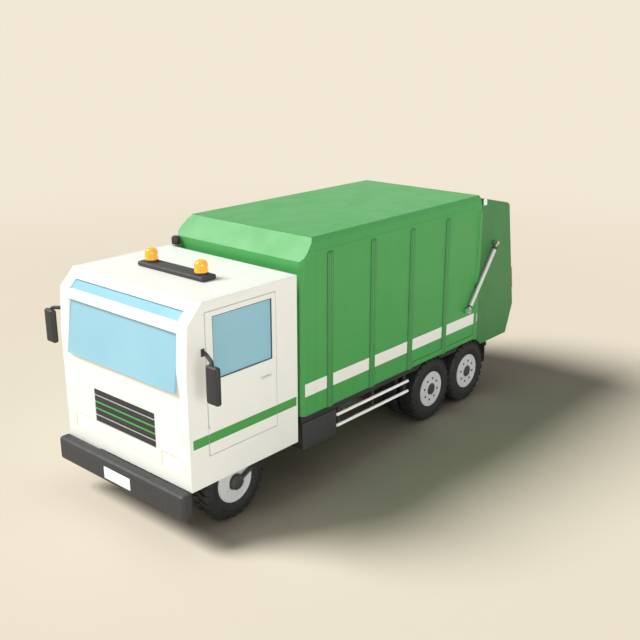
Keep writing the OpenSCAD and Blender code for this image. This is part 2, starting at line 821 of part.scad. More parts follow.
module cab_front() {
    color(WHITE) difference() {
        across(front_skin, -cab_in_y, cab_in_y);
        // windscreen and strip window
        block([cab_x1 - far, -screen_half, screen_z + 80], [cab_x1 + 1, screen_half, screen_top_z]);
        block([cab_x1 - far, -screen_half, screen_top_z + bar_h],
              [cab_x1 + 1, screen_half, screen_top_z + bar_h + strip_h]);
        block([cab_x1 - 100, -grille_half, grille_z], [cab_x1 + 1, grille_half, grille_z + grille_h]);
        both_sides()
            block([cab_x1 - 30, lamp_y - lamp_w / 2, lamp_z - lamp_h / 2],
                  [cab_x1 + 1, lamp_y + lamp_w / 2, lamp_z + lamp_h / 2]);
    }
}

module cab_roof() {
    color(WHITE)
        block([cab_x0 + panel_t, -cab_in_y, cab_top - panel_t],
              [cab_x1 - lean - brow_run, cab_in_y, cab_top]);
}

module cab_back() {
    color(WHITE)
        block([cab_x0, -cab_in_y, floor_z - panel_t], [cab_x0 + panel_t, cab_in_y, cab_top]);
}

module cab_floor() {
    x0 = cab_x0 + panel_t;
    x1 = cab_x1 - panel_t;
    color(DARK) difference() {
        union() {
            // lugs that hang the floor on the tilt pins
            both_sides() {
                block([tilt_pivot[0] - 35, tilt_y0, tilt_pivot[1]], [tilt_pivot[0] + 34, tilt_y1, floor_z - 1]);
                bar_y(tilt_pivot[0], tilt_pivot[1], 34, tilt_y0, tilt_y1);
            }
            block([x0, -cab_in_y, floor_z - panel_t], [x1, cab_in_y, floor_z]);
            block([x0, -tunnel_y, floor_z - panel_t], [tunnel_x1, tunnel_y, tunnel_top]);
        }
        block([x0 - 1, -tunnel_y + tunnel_wall, floor_z - panel_t - 1],
              [tunnel_x1 - tunnel_wall, tunnel_y - tunnel_wall, tunnel_top - tunnel_wall]);
        bar_y(tilt_pivot[0], tilt_pivot[1], tilt_pin_r + fit, -tilt_y1 - 1, tilt_y1 + 1);
    }
}

// One side of the cab round its door: pillars, roof edge and skirt, with the hinge pins
module cab_side() {
    difference() {
        across(cab_profile, cab_in_y, cab_y);
        block([door_x0 - seam, cab_in_y - 1, floor_z], [door_x1 + hinge_seam, cab_y + 1, door_top_z + seam]);
        // the skirt is thinner, so that the front wheel can steer behind it
        block([cab_x0 - 1, cab_in_y - 1, cab_z - 1], [cab_x1 - panel_t, cab_y - skirt_t, floor_z - panel_t]);
        for (z = hinge_heights) translate([hinge_axis[0], hinge_axis[1], z - 4])
            cylinder(r = hinge_knuckle_r + 5, h = hinge_knuckle_h + 8, $fn = round_fn);
    }
    for (z = hinge_heights) translate([hinge_axis[0], hinge_axis[1], z]) {
        translate([0, 0, -20]) cylinder(r = hinge_pin_r, h = hinge_knuckle_h + 40, $fn = round_fn);
        for (end = [-24, hinge_knuckle_h + 4]) translate([0, 0, end]) {
            cylinder(r = hinge_pin_r + 4, h = 20, $fn = round_fn);
            translate([0, -16, 0]) cube([40, 22, 20]);
        }
    }
}

module cab_sides() {
    color(WHITE) both_sides() cab_side();
}

module door(side) {
    color(WHITE) on_side(side) difference() {
        union() {
            difference() {
                block([door_x0, cab_in_y, door_z0], [door_x1, cab_y, door_top_z]);
                block([window_x0, cab_in_y - 1, window_z], [window_x1, cab_y + 1, window_z + window_h]);
                for (z = hinge_heights) translate([hinge_axis[0], hinge_axis[1], z - 30])
                    cylinder(r = hinge_pin_r + 9, h = hinge_knuckle_h + 60, $fn = round_fn);
            }
            for (z = hinge_heights) translate([hinge_axis[0], hinge_axis[1], z]) {
                cylinder(r = hinge_knuckle_r, h = hinge_knuckle_h, $fn = round_fn);
                translate([-30, -hinge_knuckle_r, 0]) cube([30, 2 * hinge_knuckle_r - 11, hinge_knuckle_h]);
            }
        }
        for (z = hinge_heights) translate([hinge_axis[0], hinge_axis[1], z - 1])
            cylinder(r = hinge_pin_r + fit, h = hinge_knuckle_h + 2, $fn = round_fn);
    }
}

module door_glass(side) {
    y = cab_y - 28;
    color(GLASS) on_side(side)
        block([window_x0, y, window_z], [window_x1, y + door_glass_t, window_z + window_h]);
}

module windscreen() {
    foot = cab_x1 + screen_out;
    head = cab_x1 - lean * (screen_top_z - kink_z) / (brow_z - kink_z) - screen_in;
    strip_z = screen_top_z + bar_h;
    brow_slope = brow_run / (cab_top - brow_z);
    strip_x = cab_x1 - lean - 34 - (strip_z - brow_z) * brow_slope;
    strip_t = 24;
    color(GLASS) {
        across([[foot - screen_t, screen_z], [foot, screen_z], [head, screen_top_z], [head - screen_t, screen_top_z]],
               -screen_half, screen_half);
        across([[strip_x - strip_t, strip_z], [strip_x, strip_z], [strip_x - strip_h * brow_slope, strip_z + strip_h],
                [strip_x - strip_t - strip_h * brow_slope, strip_z + strip_h]], -screen_half, screen_half);
    }
}

module grille() {
    slat_pitch = grille_h / slats;
    slat_gap = 26;
    x0 = cab_x1 - panel_t;
    color(DARK) {
        block([x0, -grille_half, grille_z], [x0 + 12, grille_half, grille_z + grille_h]);
        for (i = [0 : slats - 1]) {
            z = grille_z + i * slat_pitch;
            block([x0, -grille_half, z + slat_gap / 2], [cab_x1 - 8, grille_half, z + slat_pitch - slat_gap / 2]);
        }
    }
}

module head_lamps() {
    color("#fffdf2") both_sides()
        block([cab_x1 - 30, lamp_y - lamp_w / 2, lamp_z - lamp_h / 2],
              [cab_x1 - 10, lamp_y + lamp_w / 2, lamp_z + lamp_h / 2]);
}

light_bar_x = cab_x1 - 960;

module light_bar() {
    color(DARK)
        block([light_bar_x - light_bar_d / 2, -light_bar_half, cab_top],
              [light_bar_x + light_bar_d / 2, light_bar_half, cab_top + light_bar_h]);
}

module beacons() {
    color(AMBER) both_sides() translate([light_bar_x, light_bar_half - 150, cab_top + light_bar_h])
        cylinder(r = beacon_r, h = beacon_h, $fn = round_fn);
}

// Each mirror hangs on an arm that leaves the cab just ahead of the door
module mirrors() {
    arm_r = 14;
    base_x = cab_x1 - 255;
    base_z = mirror_z + mirror_h / 2 + 26;
    arm_y = mirror_y - 10;
    run = mirror_x - base_x;
    color(DARK) both_sides() {
        block([base_x - 30, cab_y, base_z - 50], [base_x + 30, cab_y + 12, base_z + 50]);
        translate([base_x, cab_y + 6, base_z])
            rotate([-90, 0, -atan2(run, arm_y - cab_y)]) cylinder(r = arm_r, h = norm([run, arm_y - cab_y]), $fn = round_fn);
        translate([mirror_x, arm_y, mirror_z]) cylinder(r = arm_r, h = base_z + arm_r - mirror_z, $fn = round_fn);
        block([mirror_x - mirror_d / 2, mirror_y - mirror_w / 2, mirror_z - mirror_h / 2],
              [mirror_x + mirror_d / 2, mirror_y + mirror_w / 2, mirror_z + mirror_h / 2]);
    }
}

module seats() {
    color(BLACK) both_sides() {
        block([seat_x, seat_y - 180, floor_z], [seat_x + 420, seat_y + 180, floor_z + 300]);
        block([seat_x - 20, seat_y - 240, floor_z + 300], [seat_x + 500, seat_y + 240, floor_z + 440]);
        across([[seat_x - 20, floor_z + 440], [seat_x + 120, floor_z + 440], [seat_x + 10, floor_z + 1160],
                [seat_x - 100, floor_z + 1160]], seat_y - 230, seat_y + 230);
    }
}

module dashboard() {
    x1 = cab_x1 - panel_t;
    dash_z = 1990;
    wheel_x = x1 - 620;
    wheel_z = 1900;
    color(DARK) {
        across([[x1, 1640], [x1, dash_z], [x1 - 90, dash_z], [x1 - 360, dash_z - 90], [x1 - 360, 1700], [x1 - 260, 1640]],
               -cab_in_y + 8, cab_in_y - 8);
        // steering column, wheel rim, hub and spokes
        translate([wheel_x, seat_y, wheel_z]) rotate([0, wheel_tilt + 62, 0]) {
            cylinder(r = 30, h = 340, $fn = round_fn);
            cylinder(r = 65, h = 40, $fn = round_fn);
            rotate_extrude($fn = fine) translate([215, 18]) circle(r = 16, $fn = 32);
            for (a = [0, 120, 240]) rotate([0, 0, a]) translate([0, -15, 8]) cube([210, 30, 18]);
        }
    }
}

// ---------------------------------------------------------------- tailgate

// The tailgate's outline seen from the side
tail_outline = [
    [tail_x1, tail_z], [tail_x1, tail_top], [tail_roof_x + 70, tail_roof_z + 16], [tail_roof_x, tail_roof_z - 30],
    [tail_x0, sill_z], [tail_x1 - tail_foot_run, tail_z]
];

// How far back the tailgate's rear edge lies at a height above the sill
function tail_rear(z) =
    tail_x0 + (tail_roof_x - tail_x0) * (z - sill_z) / (tail_roof_z - 30 - sill_z);

module tailgate_shell() {
    cover_t = 45;
    color(TAIL_GREEN) difference() {
        union() {
            both_sides() {
                across(tail_outline, cheek_in, body_y);
                bar_y(lift_head[0], lift_head[1], 48, body_y - 1, boss_y - touch);
                bar_y(tail_hinge[0], tail_hinge[1], hinge_r, hinge_lug_y() - 35, hinge_lug_y() - 3);
                block([tail_hinge[0] - 90, hinge_lug_y() - 35, tail_top - hinge_r - 30],
                      [tail_hinge[0] - 8, hinge_lug_y() - 3, tail_top - 12]);
            }
            // roof and the cover above the loading opening
            across([[tail_x1, tail_top - cover_t], [tail_x1, tail_top], [tail_roof_x + 70, tail_roof_z + 16],
                    [tail_roof_x + 70, tail_roof_z + 16 - cover_t]], -cheek_in - 1, cheek_in + 1);
            across([[tail_roof_x + 70, tail_roof_z + 16], [tail_roof_x, tail_roof_z - 30], [tail_rear(mouth_top), mouth_top],
                    [tail_rear(mouth_top) + cover_t, mouth_top], [tail_roof_x + cover_t, tail_roof_z - 50],
                    [tail_roof_x + 70, tail_roof_z + 16 - cover_t]], -cheek_in - 1, cheek_in + 1);
            bar_y(packer_x, packer_z, packer_shaft_r, -cheek_in - 1, cheek_in + 1);
        }
        tyre_arch();
        both_sides() {
            // room for the body's hinge lug, and the bore for its pin
            bar_y(tail_hinge[0], tail_hinge[1], hinge_r + 6, hinge_lug_y() - 3, hinge_lug_y() + 36);
            bar_y(tail_hinge[0], tail_hinge[1], hinge_pin + fit, hinge_lug_y() - 60, hinge_lug_y() + 36);
        }
    }
}

module hopper() {
    color(TAIL_GREEN) difference() {
        across([[tail_x1, tail_z], [tail_x1, body_floor_top + 1], [packer_x, body_floor_top + 1], [tail_x0, sill_z],
                [tail_x1 - tail_foot_run, tail_z]], -cheek_in, cheek_in);
        bar_y(packer_x, packer_z, hopper_r, -cheek_in - 1, cheek_in + 1, 256);
        tyre_arch();
    }
}

// Room for the rearmost tyres under the front of the tailgate
module tyre_arch() {
    bar_y(rear_x, tyre_r, tyre_r + 35, -body_y - 1, body_y + 1, 256);
}

module tail_lamps() {
    z0 = sill_z + 300;
    z1 = z0 + 380;
    color(RED) both_sides()
        across([[tail_rear(z0) - 28, z0], [tail_rear(z0), z0], [tail_rear(z1), z1], [tail_rear(z1) - 28, z1]],
               cheek_in + 4, body_y - 4);
}

module packer_blade() {
    color(STEEL) translate([packer_x, 0, packer_z]) rotate([0, -packer_rest, 0]) difference() {
        union() {
            bar_y(0, 0, packer_shaft_r + blade_tube, -blade_y, blade_y);
            block([-blade_t / 2, -blade_y, -blade_r], [blade_t / 2, blade_y, 0]);
        }
        bar_y(0, 0, packer_shaft_r + fit, -blade_y - 1, blade_y + 1);
    }
}

// ---------------------------------------------------------------- lift cylinders

module along_lift(side) {
    on_side(side) translate([lift_foot[0], lift_y, lift_foot[1]]) rotate([0, 90 - lift_tilt, 0]) children();
}

module lift_barrel(side) {
    color(STEEL) along_lift(side) difference() {
        union() {
            cylinder(r = barrel_r, h = barrel_len, $fn = round_fn);
            bar_y(0, 0, lift_eye_r, -barrel_r - 4, barrel_r);
        }
        bar_y(0, 0, lift_pin_r + fit, -barrel_r - 10, barrel_r + 10);
        translate([0, 0, lift_eye_r + 20]) cylinder(r = rod_r + fit, h = barrel_len, $fn = round_fn);
    }
}

module lift_rod(side) {
    color(STEEL) along_lift(side) {
        translate([0, 0, rod_in]) cylinder(r = rod_r, h = lift_len - rod_in, $fn = round_fn);
        translate([0, 0, lift_len]) bar_y(0, 0, lift_eye_r - 6, boss_y - lift_y + touch, barrel_r - 6);
    }
}

// ---------------------------------------------------------------- what each node draws

frame_rails();
cross_members();
bearers();
side_sills();
rear_bar();
tow_plate();
front_bumper();
front_axle();
rear_axles();
driveline();
side_boxes();
side_guards();
guard_posts();
exhaust_stack();
mud_flaps();
body_floor();
body_sides();
body_roof();
body_front();
ejector_panel();
cab_floor();
cab_front();
cab_roof();
cab_back();
cab_sides();
windscreen();
grille();
head_lamps();
light_bar();
beacons();
mirrors();
seats();
dashboard();
door(1);  // door_left
door_glass(1);  // door_left_glass
door(-1);  // door_right
door_glass(-1);  // door_right_glass
tailgate_shell();
hopper();
tail_lamps();
packer_blade();
lift_barrel(1);  // lift_barrel_left
lift_barrel(-1);  // lift_barrel_right
lift_rod(1);  // lift_rod_left
lift_rod(-1);  // lift_rod_right
knuckle(1);  // knuckle_left
knuckle(-1);  // knuckle_right
front_tyre(1);  // tyre_front_left
front_tyre(-1);  // tyre_front_right
front_rim(1);  // rim_front_left
front_rim(-1);  // rim_front_right
twin_tyres(middle_x, 1);  // tyres_middle_left
twin_tyres(middle_x, -1);  // tyres_middle_right
twin_rims(middle_x, 1);  // rims_middle_left
twin_rims(middle_x, -1);  // rims_middle_right
twin_tyres(rear_x, 1);  // tyres_rear_left
twin_tyres(rear_x, -1);  // tyres_rear_right
twin_rims(rear_x, 1);  // rims_rear_left
twin_rims(rear_x, -1);  // rims_rear_right
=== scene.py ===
import json
import math

import bmesh
import bpy
from mathutils import Matrix, Vector

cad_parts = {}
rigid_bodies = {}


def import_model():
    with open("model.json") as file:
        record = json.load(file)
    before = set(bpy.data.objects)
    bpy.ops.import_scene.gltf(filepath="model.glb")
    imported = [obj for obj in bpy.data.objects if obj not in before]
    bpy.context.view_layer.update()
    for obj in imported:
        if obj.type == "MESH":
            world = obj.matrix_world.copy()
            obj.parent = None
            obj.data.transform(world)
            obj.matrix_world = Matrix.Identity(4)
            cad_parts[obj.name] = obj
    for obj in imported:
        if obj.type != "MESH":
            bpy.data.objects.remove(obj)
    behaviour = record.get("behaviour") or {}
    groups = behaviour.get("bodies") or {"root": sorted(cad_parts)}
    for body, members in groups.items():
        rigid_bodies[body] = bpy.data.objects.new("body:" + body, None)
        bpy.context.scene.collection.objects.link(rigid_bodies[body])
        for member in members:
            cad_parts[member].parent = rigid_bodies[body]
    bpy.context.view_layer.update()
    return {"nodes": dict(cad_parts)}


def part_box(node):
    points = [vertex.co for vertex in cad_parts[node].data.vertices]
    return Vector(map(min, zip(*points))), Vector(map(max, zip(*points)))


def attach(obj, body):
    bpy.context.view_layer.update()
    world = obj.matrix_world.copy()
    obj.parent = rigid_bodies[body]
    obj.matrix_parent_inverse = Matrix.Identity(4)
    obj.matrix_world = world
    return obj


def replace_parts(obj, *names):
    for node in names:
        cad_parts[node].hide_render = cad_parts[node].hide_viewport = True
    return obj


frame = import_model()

NODES = frame["nodes"]
scene = bpy.context.scene

# ------------------------------------------------------------------ camera

CAMERA_FROM = Vector((9.8011, 8.6835, 6.0412))
CAMERA_AT = Vector((-0.095, -0.0105, 1.7357))
camera = bpy.data.objects.new("camera", bpy.data.cameras.new("camera"))
camera.data.lens = 50
camera.data.sensor_width = 36
camera.data.clip_end = 400
camera.location = CAMERA_FROM
camera.rotation_euler = (CAMERA_AT - CAMERA_FROM).to_track_quat("-Z", "Y").to_euler()
scene.collection.objects.link(camera)
scene.camera = camera

# ------------------------------------------------------------------ materials

BUMP_DEPTH = 0.002
COAT_ROUGHNESS = 0.15


class Shader:
    """A node material with short calls for the few nodes that every finish here needs."""

    def __init__(self, name):
        self.mat = bpy.data.materials.new(name)
        self.mat.use_nodes = True
        self.tree = self.mat.node_tree
        self.bsdf = self.tree.nodes["Principled BSDF"]
        self.out = self.tree.nodes["Material Output"]
        self.coord = self.add("ShaderNodeTexCoord").outputs["Object"]

    def add(self, kind, **settings):
        node = self.tree.nodes.new(kind)
        for key, value in settings.items():
            setattr(node, key, value)
        return node

    def feed(self, socket, value):
        if isinstance(value, bpy.types.NodeSocket):
            self.tree.links.new(value, socket)
        else:
            socket.default_value = value

    def math(self, op, a, b=0.0, c=0.0):
        node = self.add("ShaderNodeMath", operation=op)
        for socket, value in zip(node.inputs, (a, b, c)):
            self.feed(socket, value)
        return node.outputs[0]

    def noise(self, size, detail=3.0, stretch=None):
        where = self.coord
        if stretch:
            mapping = self.add("ShaderNodeMapping")
            self.feed(mapping.inputs["Vector"], where)
            mapping.inputs["Scale"].default_value = stretch
            where = mapping.outputs[0]
        node = self.add("ShaderNodeTexNoise")
        self.feed(node.inputs["Vector"], where)
        node.inputs["Scale"].default_value = 1.0 / size
        node.inputs["Detail"].default_value = detail
        return node.outputs["Fac"]

    def span(self, value, low, high, from_low=0.3, from_high=0.7):
        """Maps from_low to from_high, by default a noise's usual range, onto low to high."""
        node = self.add("ShaderNodeMapRange")
        self.feed(node.inputs["Value"], value)
        limits = {"From Min": from_low, "From Max": from_high, "To Min": low, "To Max": high}
        for key, number in limits.items():
            node.inputs[key].default_value = number
        return node.outputs[0]

    def mix(self, fac, a, b):
        node = self.add("ShaderNodeMix", data_type="RGBA")
        self.feed(node.inputs["Factor"], fac)
        self.feed(node.inputs["A"], a)
        self.feed(node.inputs["B"], b)
        return node.outputs["Result"]

    def xyz(self):
        node = self.add("ShaderNodeSeparateXYZ")
        self.feed(node.inputs[0], self.coord)
        return node.outputs

    def band(self, value, low, high):
        return self.math("COMPARE", value, (low + high) / 2, (high - low) / 2)

    def bump(self, height, strength, normal=None):
        """Roughens the surface by a height, over another normal if there is one."""
        node = self.add("ShaderNodeBump")
        node.inputs["Strength"].default_value = strength
        node.inputs["Distance"].default_value = BUMP_DEPTH
        self.feed(node.inputs["Height"], height)
        if normal is not None:
            self.feed(node.inputs["Normal"], normal)
        self.feed(self.bsdf.inputs["Normal"], node.outputs[0])

    def blend(self, share, shader):
        """Mixes another shader into the Principled one, by a share from 0 to 1."""
        both = self.add("ShaderNodeMixShader")
        for socket, value in zip(both.inputs, (share, self.bsdf.outputs[0], shader)):
            self.feed(socket, value)
        self.feed(self.out.inputs["Surface"], both.outputs[0])


def rgb(r, g, b):
    """Linear colour from 8-bit screen values."""
    linear = [((v / 255 + 0.055) / 1.055) ** 2.4 if v > 10 else v / 255 / 12.92
              for v in (r, g, b)]
    return (*linear, 1.0)


def finish(name, colour, rough=(0.35, 0.5), metal=0.0, vary=0.06, grain=0.25, bump=0.02,
           edge=0.008, fine=0.004, coat=0.0, stretch=None, bands=(), emit=0.0):
    """A finish with drifting tone and roughness, fine bump and softened edges.

    vary is how far the tone drifts and grain how large its patches are; fine is the size of the
    bump's grain, edge the radius of the softened edges. bands: (mask maker, colour) pairs.
    """
    s = Shader(name)
    darker = tuple(c * (1 - vary) for c in colour[:3]) + (1.0,)
    lighter = tuple(min(1.0, c * (1 + vary)) for c in colour[:3]) + (1.0,)
    tone = s.mix(s.span(s.noise(grain, stretch=stretch), 0, 1), darker, lighter)
    for mask, paint in bands:
        tone = s.mix(mask(s), tone, paint)
    s.feed(s.bsdf.inputs["Base Color"], tone)
    s.feed(s.bsdf.inputs["Roughness"], s.span(s.noise(grain * 0.6, stretch=stretch), *rough))
    s.bsdf.inputs["Metallic"].default_value = metal
    s.bsdf.inputs["Coat Weight"].default_value = coat
    s.bsdf.inputs["Coat Roughness"].default_value = COAT_ROUGHNESS
    rounded = None
    if edge:
        bevel = s.add("ShaderNodeBevel", samples=4)
        bevel.inputs["Radius"].default_value = edge
        rounded = bevel.outputs[0]
    s.bump(s.noise(fine, stretch=stretch), bump, rounded)
    if emit:
        s.feed(s.bsdf.inputs["Emission Color"], tone)
        s.bsdf.inputs["Emission Strength"].default_value = emit
    return s.mat


def side_band(x_span, y_span, z_span):
    """A mask maker for a painted band on both sides; y_span is measured without its sign."""

    def mask(s):
        x, y, z = s.xyz()
        side = s.band(s.math("ABSOLUTE", y), *y_span)
        across = s.math("MULTIPLY", s.band(z, *z_span), s.band(x, *x_span))
        return s.math("MULTIPLY", across, side)

    return mask


CLEAR_OF_SIDES = 1.5  # further out than any painted side
CAB_STRIPE = side_band((1.83, 3.626), (1.2635, CLEAR_OF_SIDES), (1.290, 1.415))
BODY_STRIPE = side_band((-2.60, 1.645), (1.2385, 1.2415), (1.330, 1.515))
# a narrow end of the white stripe on the body's rear edge post
END_MARKER = side_band((-2.660, -2.634), (1.2425, CLEAR_OF_SIDES), (1.36, 1.50))

WHITE = rgb(241, 243, 238)
STRIPE_GREEN = rgb(68, 156, 74)
STRIPE_WHITE = rgb(243, 243, 236)
GREEN_PAINT = dict(rough=(0.42, 0.56), vary=0.03, grain=0.6, bump=0.02, coat=0.08)
EVEN_TONE = dict(vary=0.05, edge=0)
CLEAR_LENS = dict(rough=(0.12, 0.22), edge=0, coat=0.6)

M = {
    "cab": finish("cab_paint", WHITE, (0.38, 0.5), vary=0.012, bump=0.01, edge=0.014, coat=0.1,
                  bands=[(CAB_STRIPE, STRIPE_GREEN)]),
    "body": finish("body_paint", rgb(68, 157, 80), edge=0.014,
                   bands=[(BODY_STRIPE, STRIPE_WHITE), (END_MARKER, STRIPE_WHITE)],
                   **GREEN_PAINT),
    # a darker green than the body's, as painted shade along the ribs
    "rib": finish("rib_paint_painted_shade", rgb(56, 132, 68), edge=0.01, **GREEN_PAINT),
    "tail": finish("tail_paint", rgb(54, 122, 63), edge=0.014, **GREEN_PAINT),
    "frame": finish("frame_paint", rgb(38, 38, 39), (0.5, 0.65), vary=0.1, edge=0.006),
    "dark": finish("moulded_grey", rgb(52, 53, 54), (0.55, 0.68), grain=0.12, bump=0.08,
                   fine=0.003, **EVEN_TONE),
    "grille": finish("grille_grey", rgb(42, 43, 44), (0.45, 0.6), vary=0.05, grain=0.1,
                     edge=0.006),
    "rim": finish("rim_paint", rgb(208, 211, 211), (0.35, 0.5), vary=0.035, grain=0.08,
                  bump=0.03, edge=0.004),
    "handle": finish("handle_metal", rgb(232, 234, 234), (0.25, 0.35), metal=0.3, vary=0.02,
                     edge=0),
    # a seal's dark grey-blue, which also serves as painted shade along the window's top and front
    "seal": finish("window_seal_painted_shade", rgb(70, 92, 100), (0.5, 0.6), vary=0.04, edge=0),
    "hub": finish("hub_casting", rgb(58, 60, 61), (0.45, 0.6), vary=0.06, grain=0.05, bump=0.1,
                  edge=0.004),
    "cast": finish("rough_casting", rgb(60, 60, 60), (0.6, 0.75), vary=0.15, grain=0.08,
                   bump=0.3, fine=0.006, edge=0.006),
    "steel": finish("brushed_steel", rgb(205, 210, 208), (0.3, 0.42), metal=0.45, vary=0.05,
                    grain=0.05, bump=0.04, edge=0.003, stretch=(1, 6, 1)),
    "chrome": finish("polished_pipe", rgb(205, 206, 206), (0.12, 0.25), metal=0.95, grain=0.1,
                     **EVEN_TONE),
    "worn": finish("worn_steel", rgb(120, 122, 120), (0.35, 0.6), metal=0.6, vary=0.2,
                   grain=0.12, bump=0.15, edge=0.005, stretch=(1, 1, 0.25)),
    # white paint that also glows faintly: painted light on the guard rods and hinge plates, which
    # are no lamps
    "rods": finish("guard_white", rgb(246, 246, 244), (0.35, 0.5), vary=0.015, edge=0,
                   emit=0.12),
    "lens": finish("lamp_lens", rgb(255, 252, 240), (0.15, 0.25), vary=0.01, edge=0.004,
                   coat=0.5, emit=0.25),
    "yellow": finish("lamp_side_strip", rgb(250, 238, 200), (0.3, 0.4), vary=0.03, edge=0),
    "amber": finish("amber_lens", rgb(255, 166, 24), vary=0.03, emit=0.28, **CLEAR_LENS),
    "red": finish("red_lens", rgb(196, 34, 28), vary=0.05, emit=0.05, **CLEAR_LENS),
    "plate": finish("blank_plate", rgb(250, 250, 246), (0.35, 0.45), vary=0.01, edge=0),
    "mirror_case": finish("mirror_case", rgb(42, 43, 44), (0.5, 0.62), grain=0.1, bump=0.06,
                          **EVEN_TONE),
    "mirror": finish("mirror_face", rgb(215, 225, 230), (0.03, 0.06), metal=1.0, vary=0.01,
                     bump=0.002, edge=0),
    "flap": finish("flap_rubber", rgb(40, 40, 40), (0.6, 0.75), vary=0.08, bump=0.1,
                   edge=0.002),
    "trim": finish("cabin_trim", rgb(72, 73, 76), (0.55, 0.7), vary=0.05, grain=0.05,
                   bump=0.15, fine=0.002, edge=0.008),
    "line_light": finish("grille_light_line", rgb(205, 206, 204), (0.4, 0.5), vary=0.03,
                         edge=0),
    "line_green": finish("grille_green_line", rgb(84, 178, 88), (0.4, 0.5), vary=0.03, edge=0),
}


def tyre_rubber():
    """Dark rubber with dusty patches and a fine grain."""
    s = Shader("tyre_rubber")
    tone = s.mix(s.span(s.noise(0.09), 0, 1), rgb(21, 22, 23), rgb(29, 30, 31))
    tone = s.mix(s.span(s.noise(0.4, 4), 0, 0.25, 0.5, 0.8), tone, rgb(44, 44, 43))
    s.feed(s.bsdf.inputs["Base Color"], tone)
    s.feed(s.bsdf.inputs["Roughness"], s.span(s.noise(0.05), 0.62, 0.78))
    s.bump(s.noise(0.005), 0.18)
    return s.mat


def pale_glass():
    """Pale blue coated glass: mostly opaque, and a little clearer when seen square on."""
    s = Shader("pale_glass")
    tone = s.mix(s.span(s.noise(0.8, 1), 0, 1), rgb(150, 204, 224), rgb(156, 209, 228))
    s.feed(s.bsdf.inputs["Base Color"], tone)
    s.feed(s.bsdf.inputs["Roughness"], s.span(s.noise(0.3), 0.08, 0.13))
    s.bsdf.inputs["Coat Weight"].default_value = 0.3
    clear = s.add("ShaderNodeBsdfTransparent")
    clear.inputs["Color"].default_value = (0.75, 0.93, 0.97, 1)
    facing = s.add("ShaderNodeLayerWeight")
    facing.inputs["Blend"].default_value = 0.3
    s.blend(s.span(facing.outputs["Facing"], 0.16, 0.04, 0, 1), clear.outputs[0])
    return s.mat


def seat_cloth():
    """Woven seat cloth: two crossed waves for the threads over a slow drift of tone."""
    s = Shader("seat_cloth")
    tone = s.mix(s.span(s.noise(0.06), 0, 1), rgb(52, 55, 62), rgb(74, 78, 86))
    s.feed(s.bsdf.inputs["Base Color"], tone)
    s.bsdf.inputs["Roughness"].default_value = 0.9
    s.bsdf.inputs["Sheen Weight"].default_value = 0.3
    threads = []
    for axis in ("X", "Z"):
        wave = s.add("ShaderNodeTexWave", bands_direction=axis)
        wave.inputs["Scale"].default_value = 120
        s.feed(wave.inputs["Vector"], s.coord)
        threads.append(wave.outputs["Fac"])
    s.bump(s.math("ADD", *threads), 0.3)
    return s.mat


M["tyre"] = tyre_rubber()
M["glass"] = pale_glass()
M["cloth"] = seat_cloth()

# the finish of each CAD node that isn't a tyre or a rim
FINISH_NODES = {
    "frame": "frame_rails cross_members bearers side_sills rear_bar tow_plate front_axle "
             "rear_axles guard_posts",
    "dark": "front_bumper side_boxes light_bar",
    "cast": "driveline knuckle_left knuckle_right",
    "rods": "side_guards",
    "chrome": "exhaust_stack lift_rod_left lift_rod_right",
    "flap": "mud_flaps",
    "body": "body_floor body_sides body_roof body_front",
    "worn": "ejector_panel hopper packer_blade",
    "trim": "cab_floor dashboard",
    "cab": "cab_front cab_roof cab_back cab_sides door_left door_right",
    "glass": "windscreen door_left_glass door_right_glass",
    "grille": "grille",
    "lens": "head_lamps",
    "amber": "beacons",
    "mirror_case": "mirrors",
    "cloth": "seats",
    "tail": "tailgate_shell",
    "red": "tail_lamps",
    "steel": "lift_barrel_left lift_barrel_right",
}
NODE_FINISH = {node: key for key, nodes in FINISH_NODES.items() for node in nodes.split()}
for node, obj in NODES.items():
    key = NODE_FINISH.get(node) or ("tyre" if node.startswith("tyre") else "rim")
    if not obj.data.materials:
        obj.data.materials.append(M[key])
    for i in range(len(obj.data.materials)):
        obj.data.materials[i] = M[key]

# ------------------------------------------------------------------ mesh helpers
ON_AXIS = 1e-6  # a smaller radius is a point on the axis



def piece(name, bm, material, body, sharp=35, subdivide=0):
    """Turns a bmesh into a piece of the truck that rides on a body."""
    bmesh.ops.recalc_face_normals(bm, faces=bm.faces)
    mesh = bpy.data.meshes.new(name)
    bm.to_mesh(mesh)
    bm.free()
    mesh.shade_smooth()
    mesh.set_sharp_from_angle(angle=math.radians(sharp))
    mesh.materials.append(M[material])
    obj = bpy.data.objects.new(name, mesh)
    scene.collection.objects.link(obj)
    if subdivide:
        sub = obj.modifiers.new("smooth", "SUBSURF")
        sub.levels = sub.render_levels = subdivide
    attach(obj, body)
    return obj


def add_box(bm, low, high, bevel=0.0, segments=3, turn=None):
    """A box, with every edge rounded, optionally turned about its own centre."""
    made = bmesh.ops.create_cube(bm, size=1.0)["verts"]
    size = [b - a for a, b in zip(low, high)]
    middle = [(a + b) / 2 for a, b in zip(low, high)]
    move = Matrix.Translation(middle) @ (turn or Matrix.Identity(4)) @ Matrix.Diagonal((*size, 1))
    bmesh.ops.transform(bm, matrix=move, verts=made)
    if bevel:
        edges = {e for v in made for e in v.link_edges}
        bmesh.ops.bevel(bm, geom=list(edges), offset=bevel, segments=segments, profile=0.5,
                        affect="EDGES")


def bridge(bm, one, two):
    """Joins two rings of vertices with faces; a ring of one vertex is a point."""
    around = max(len(one), len(two))
    if around == 1:
        return
    for k in range(around):
        n = (k + 1) % around
        if len(one) == 1:
            bm.faces.new((one[0], two[k], two[n]))
        elif len(two) == 1:
            bm.faces.new((one[k], one[n], two[0]))
        else:
            bm.faces.new((one[k], one[n], two[n], two[k]))


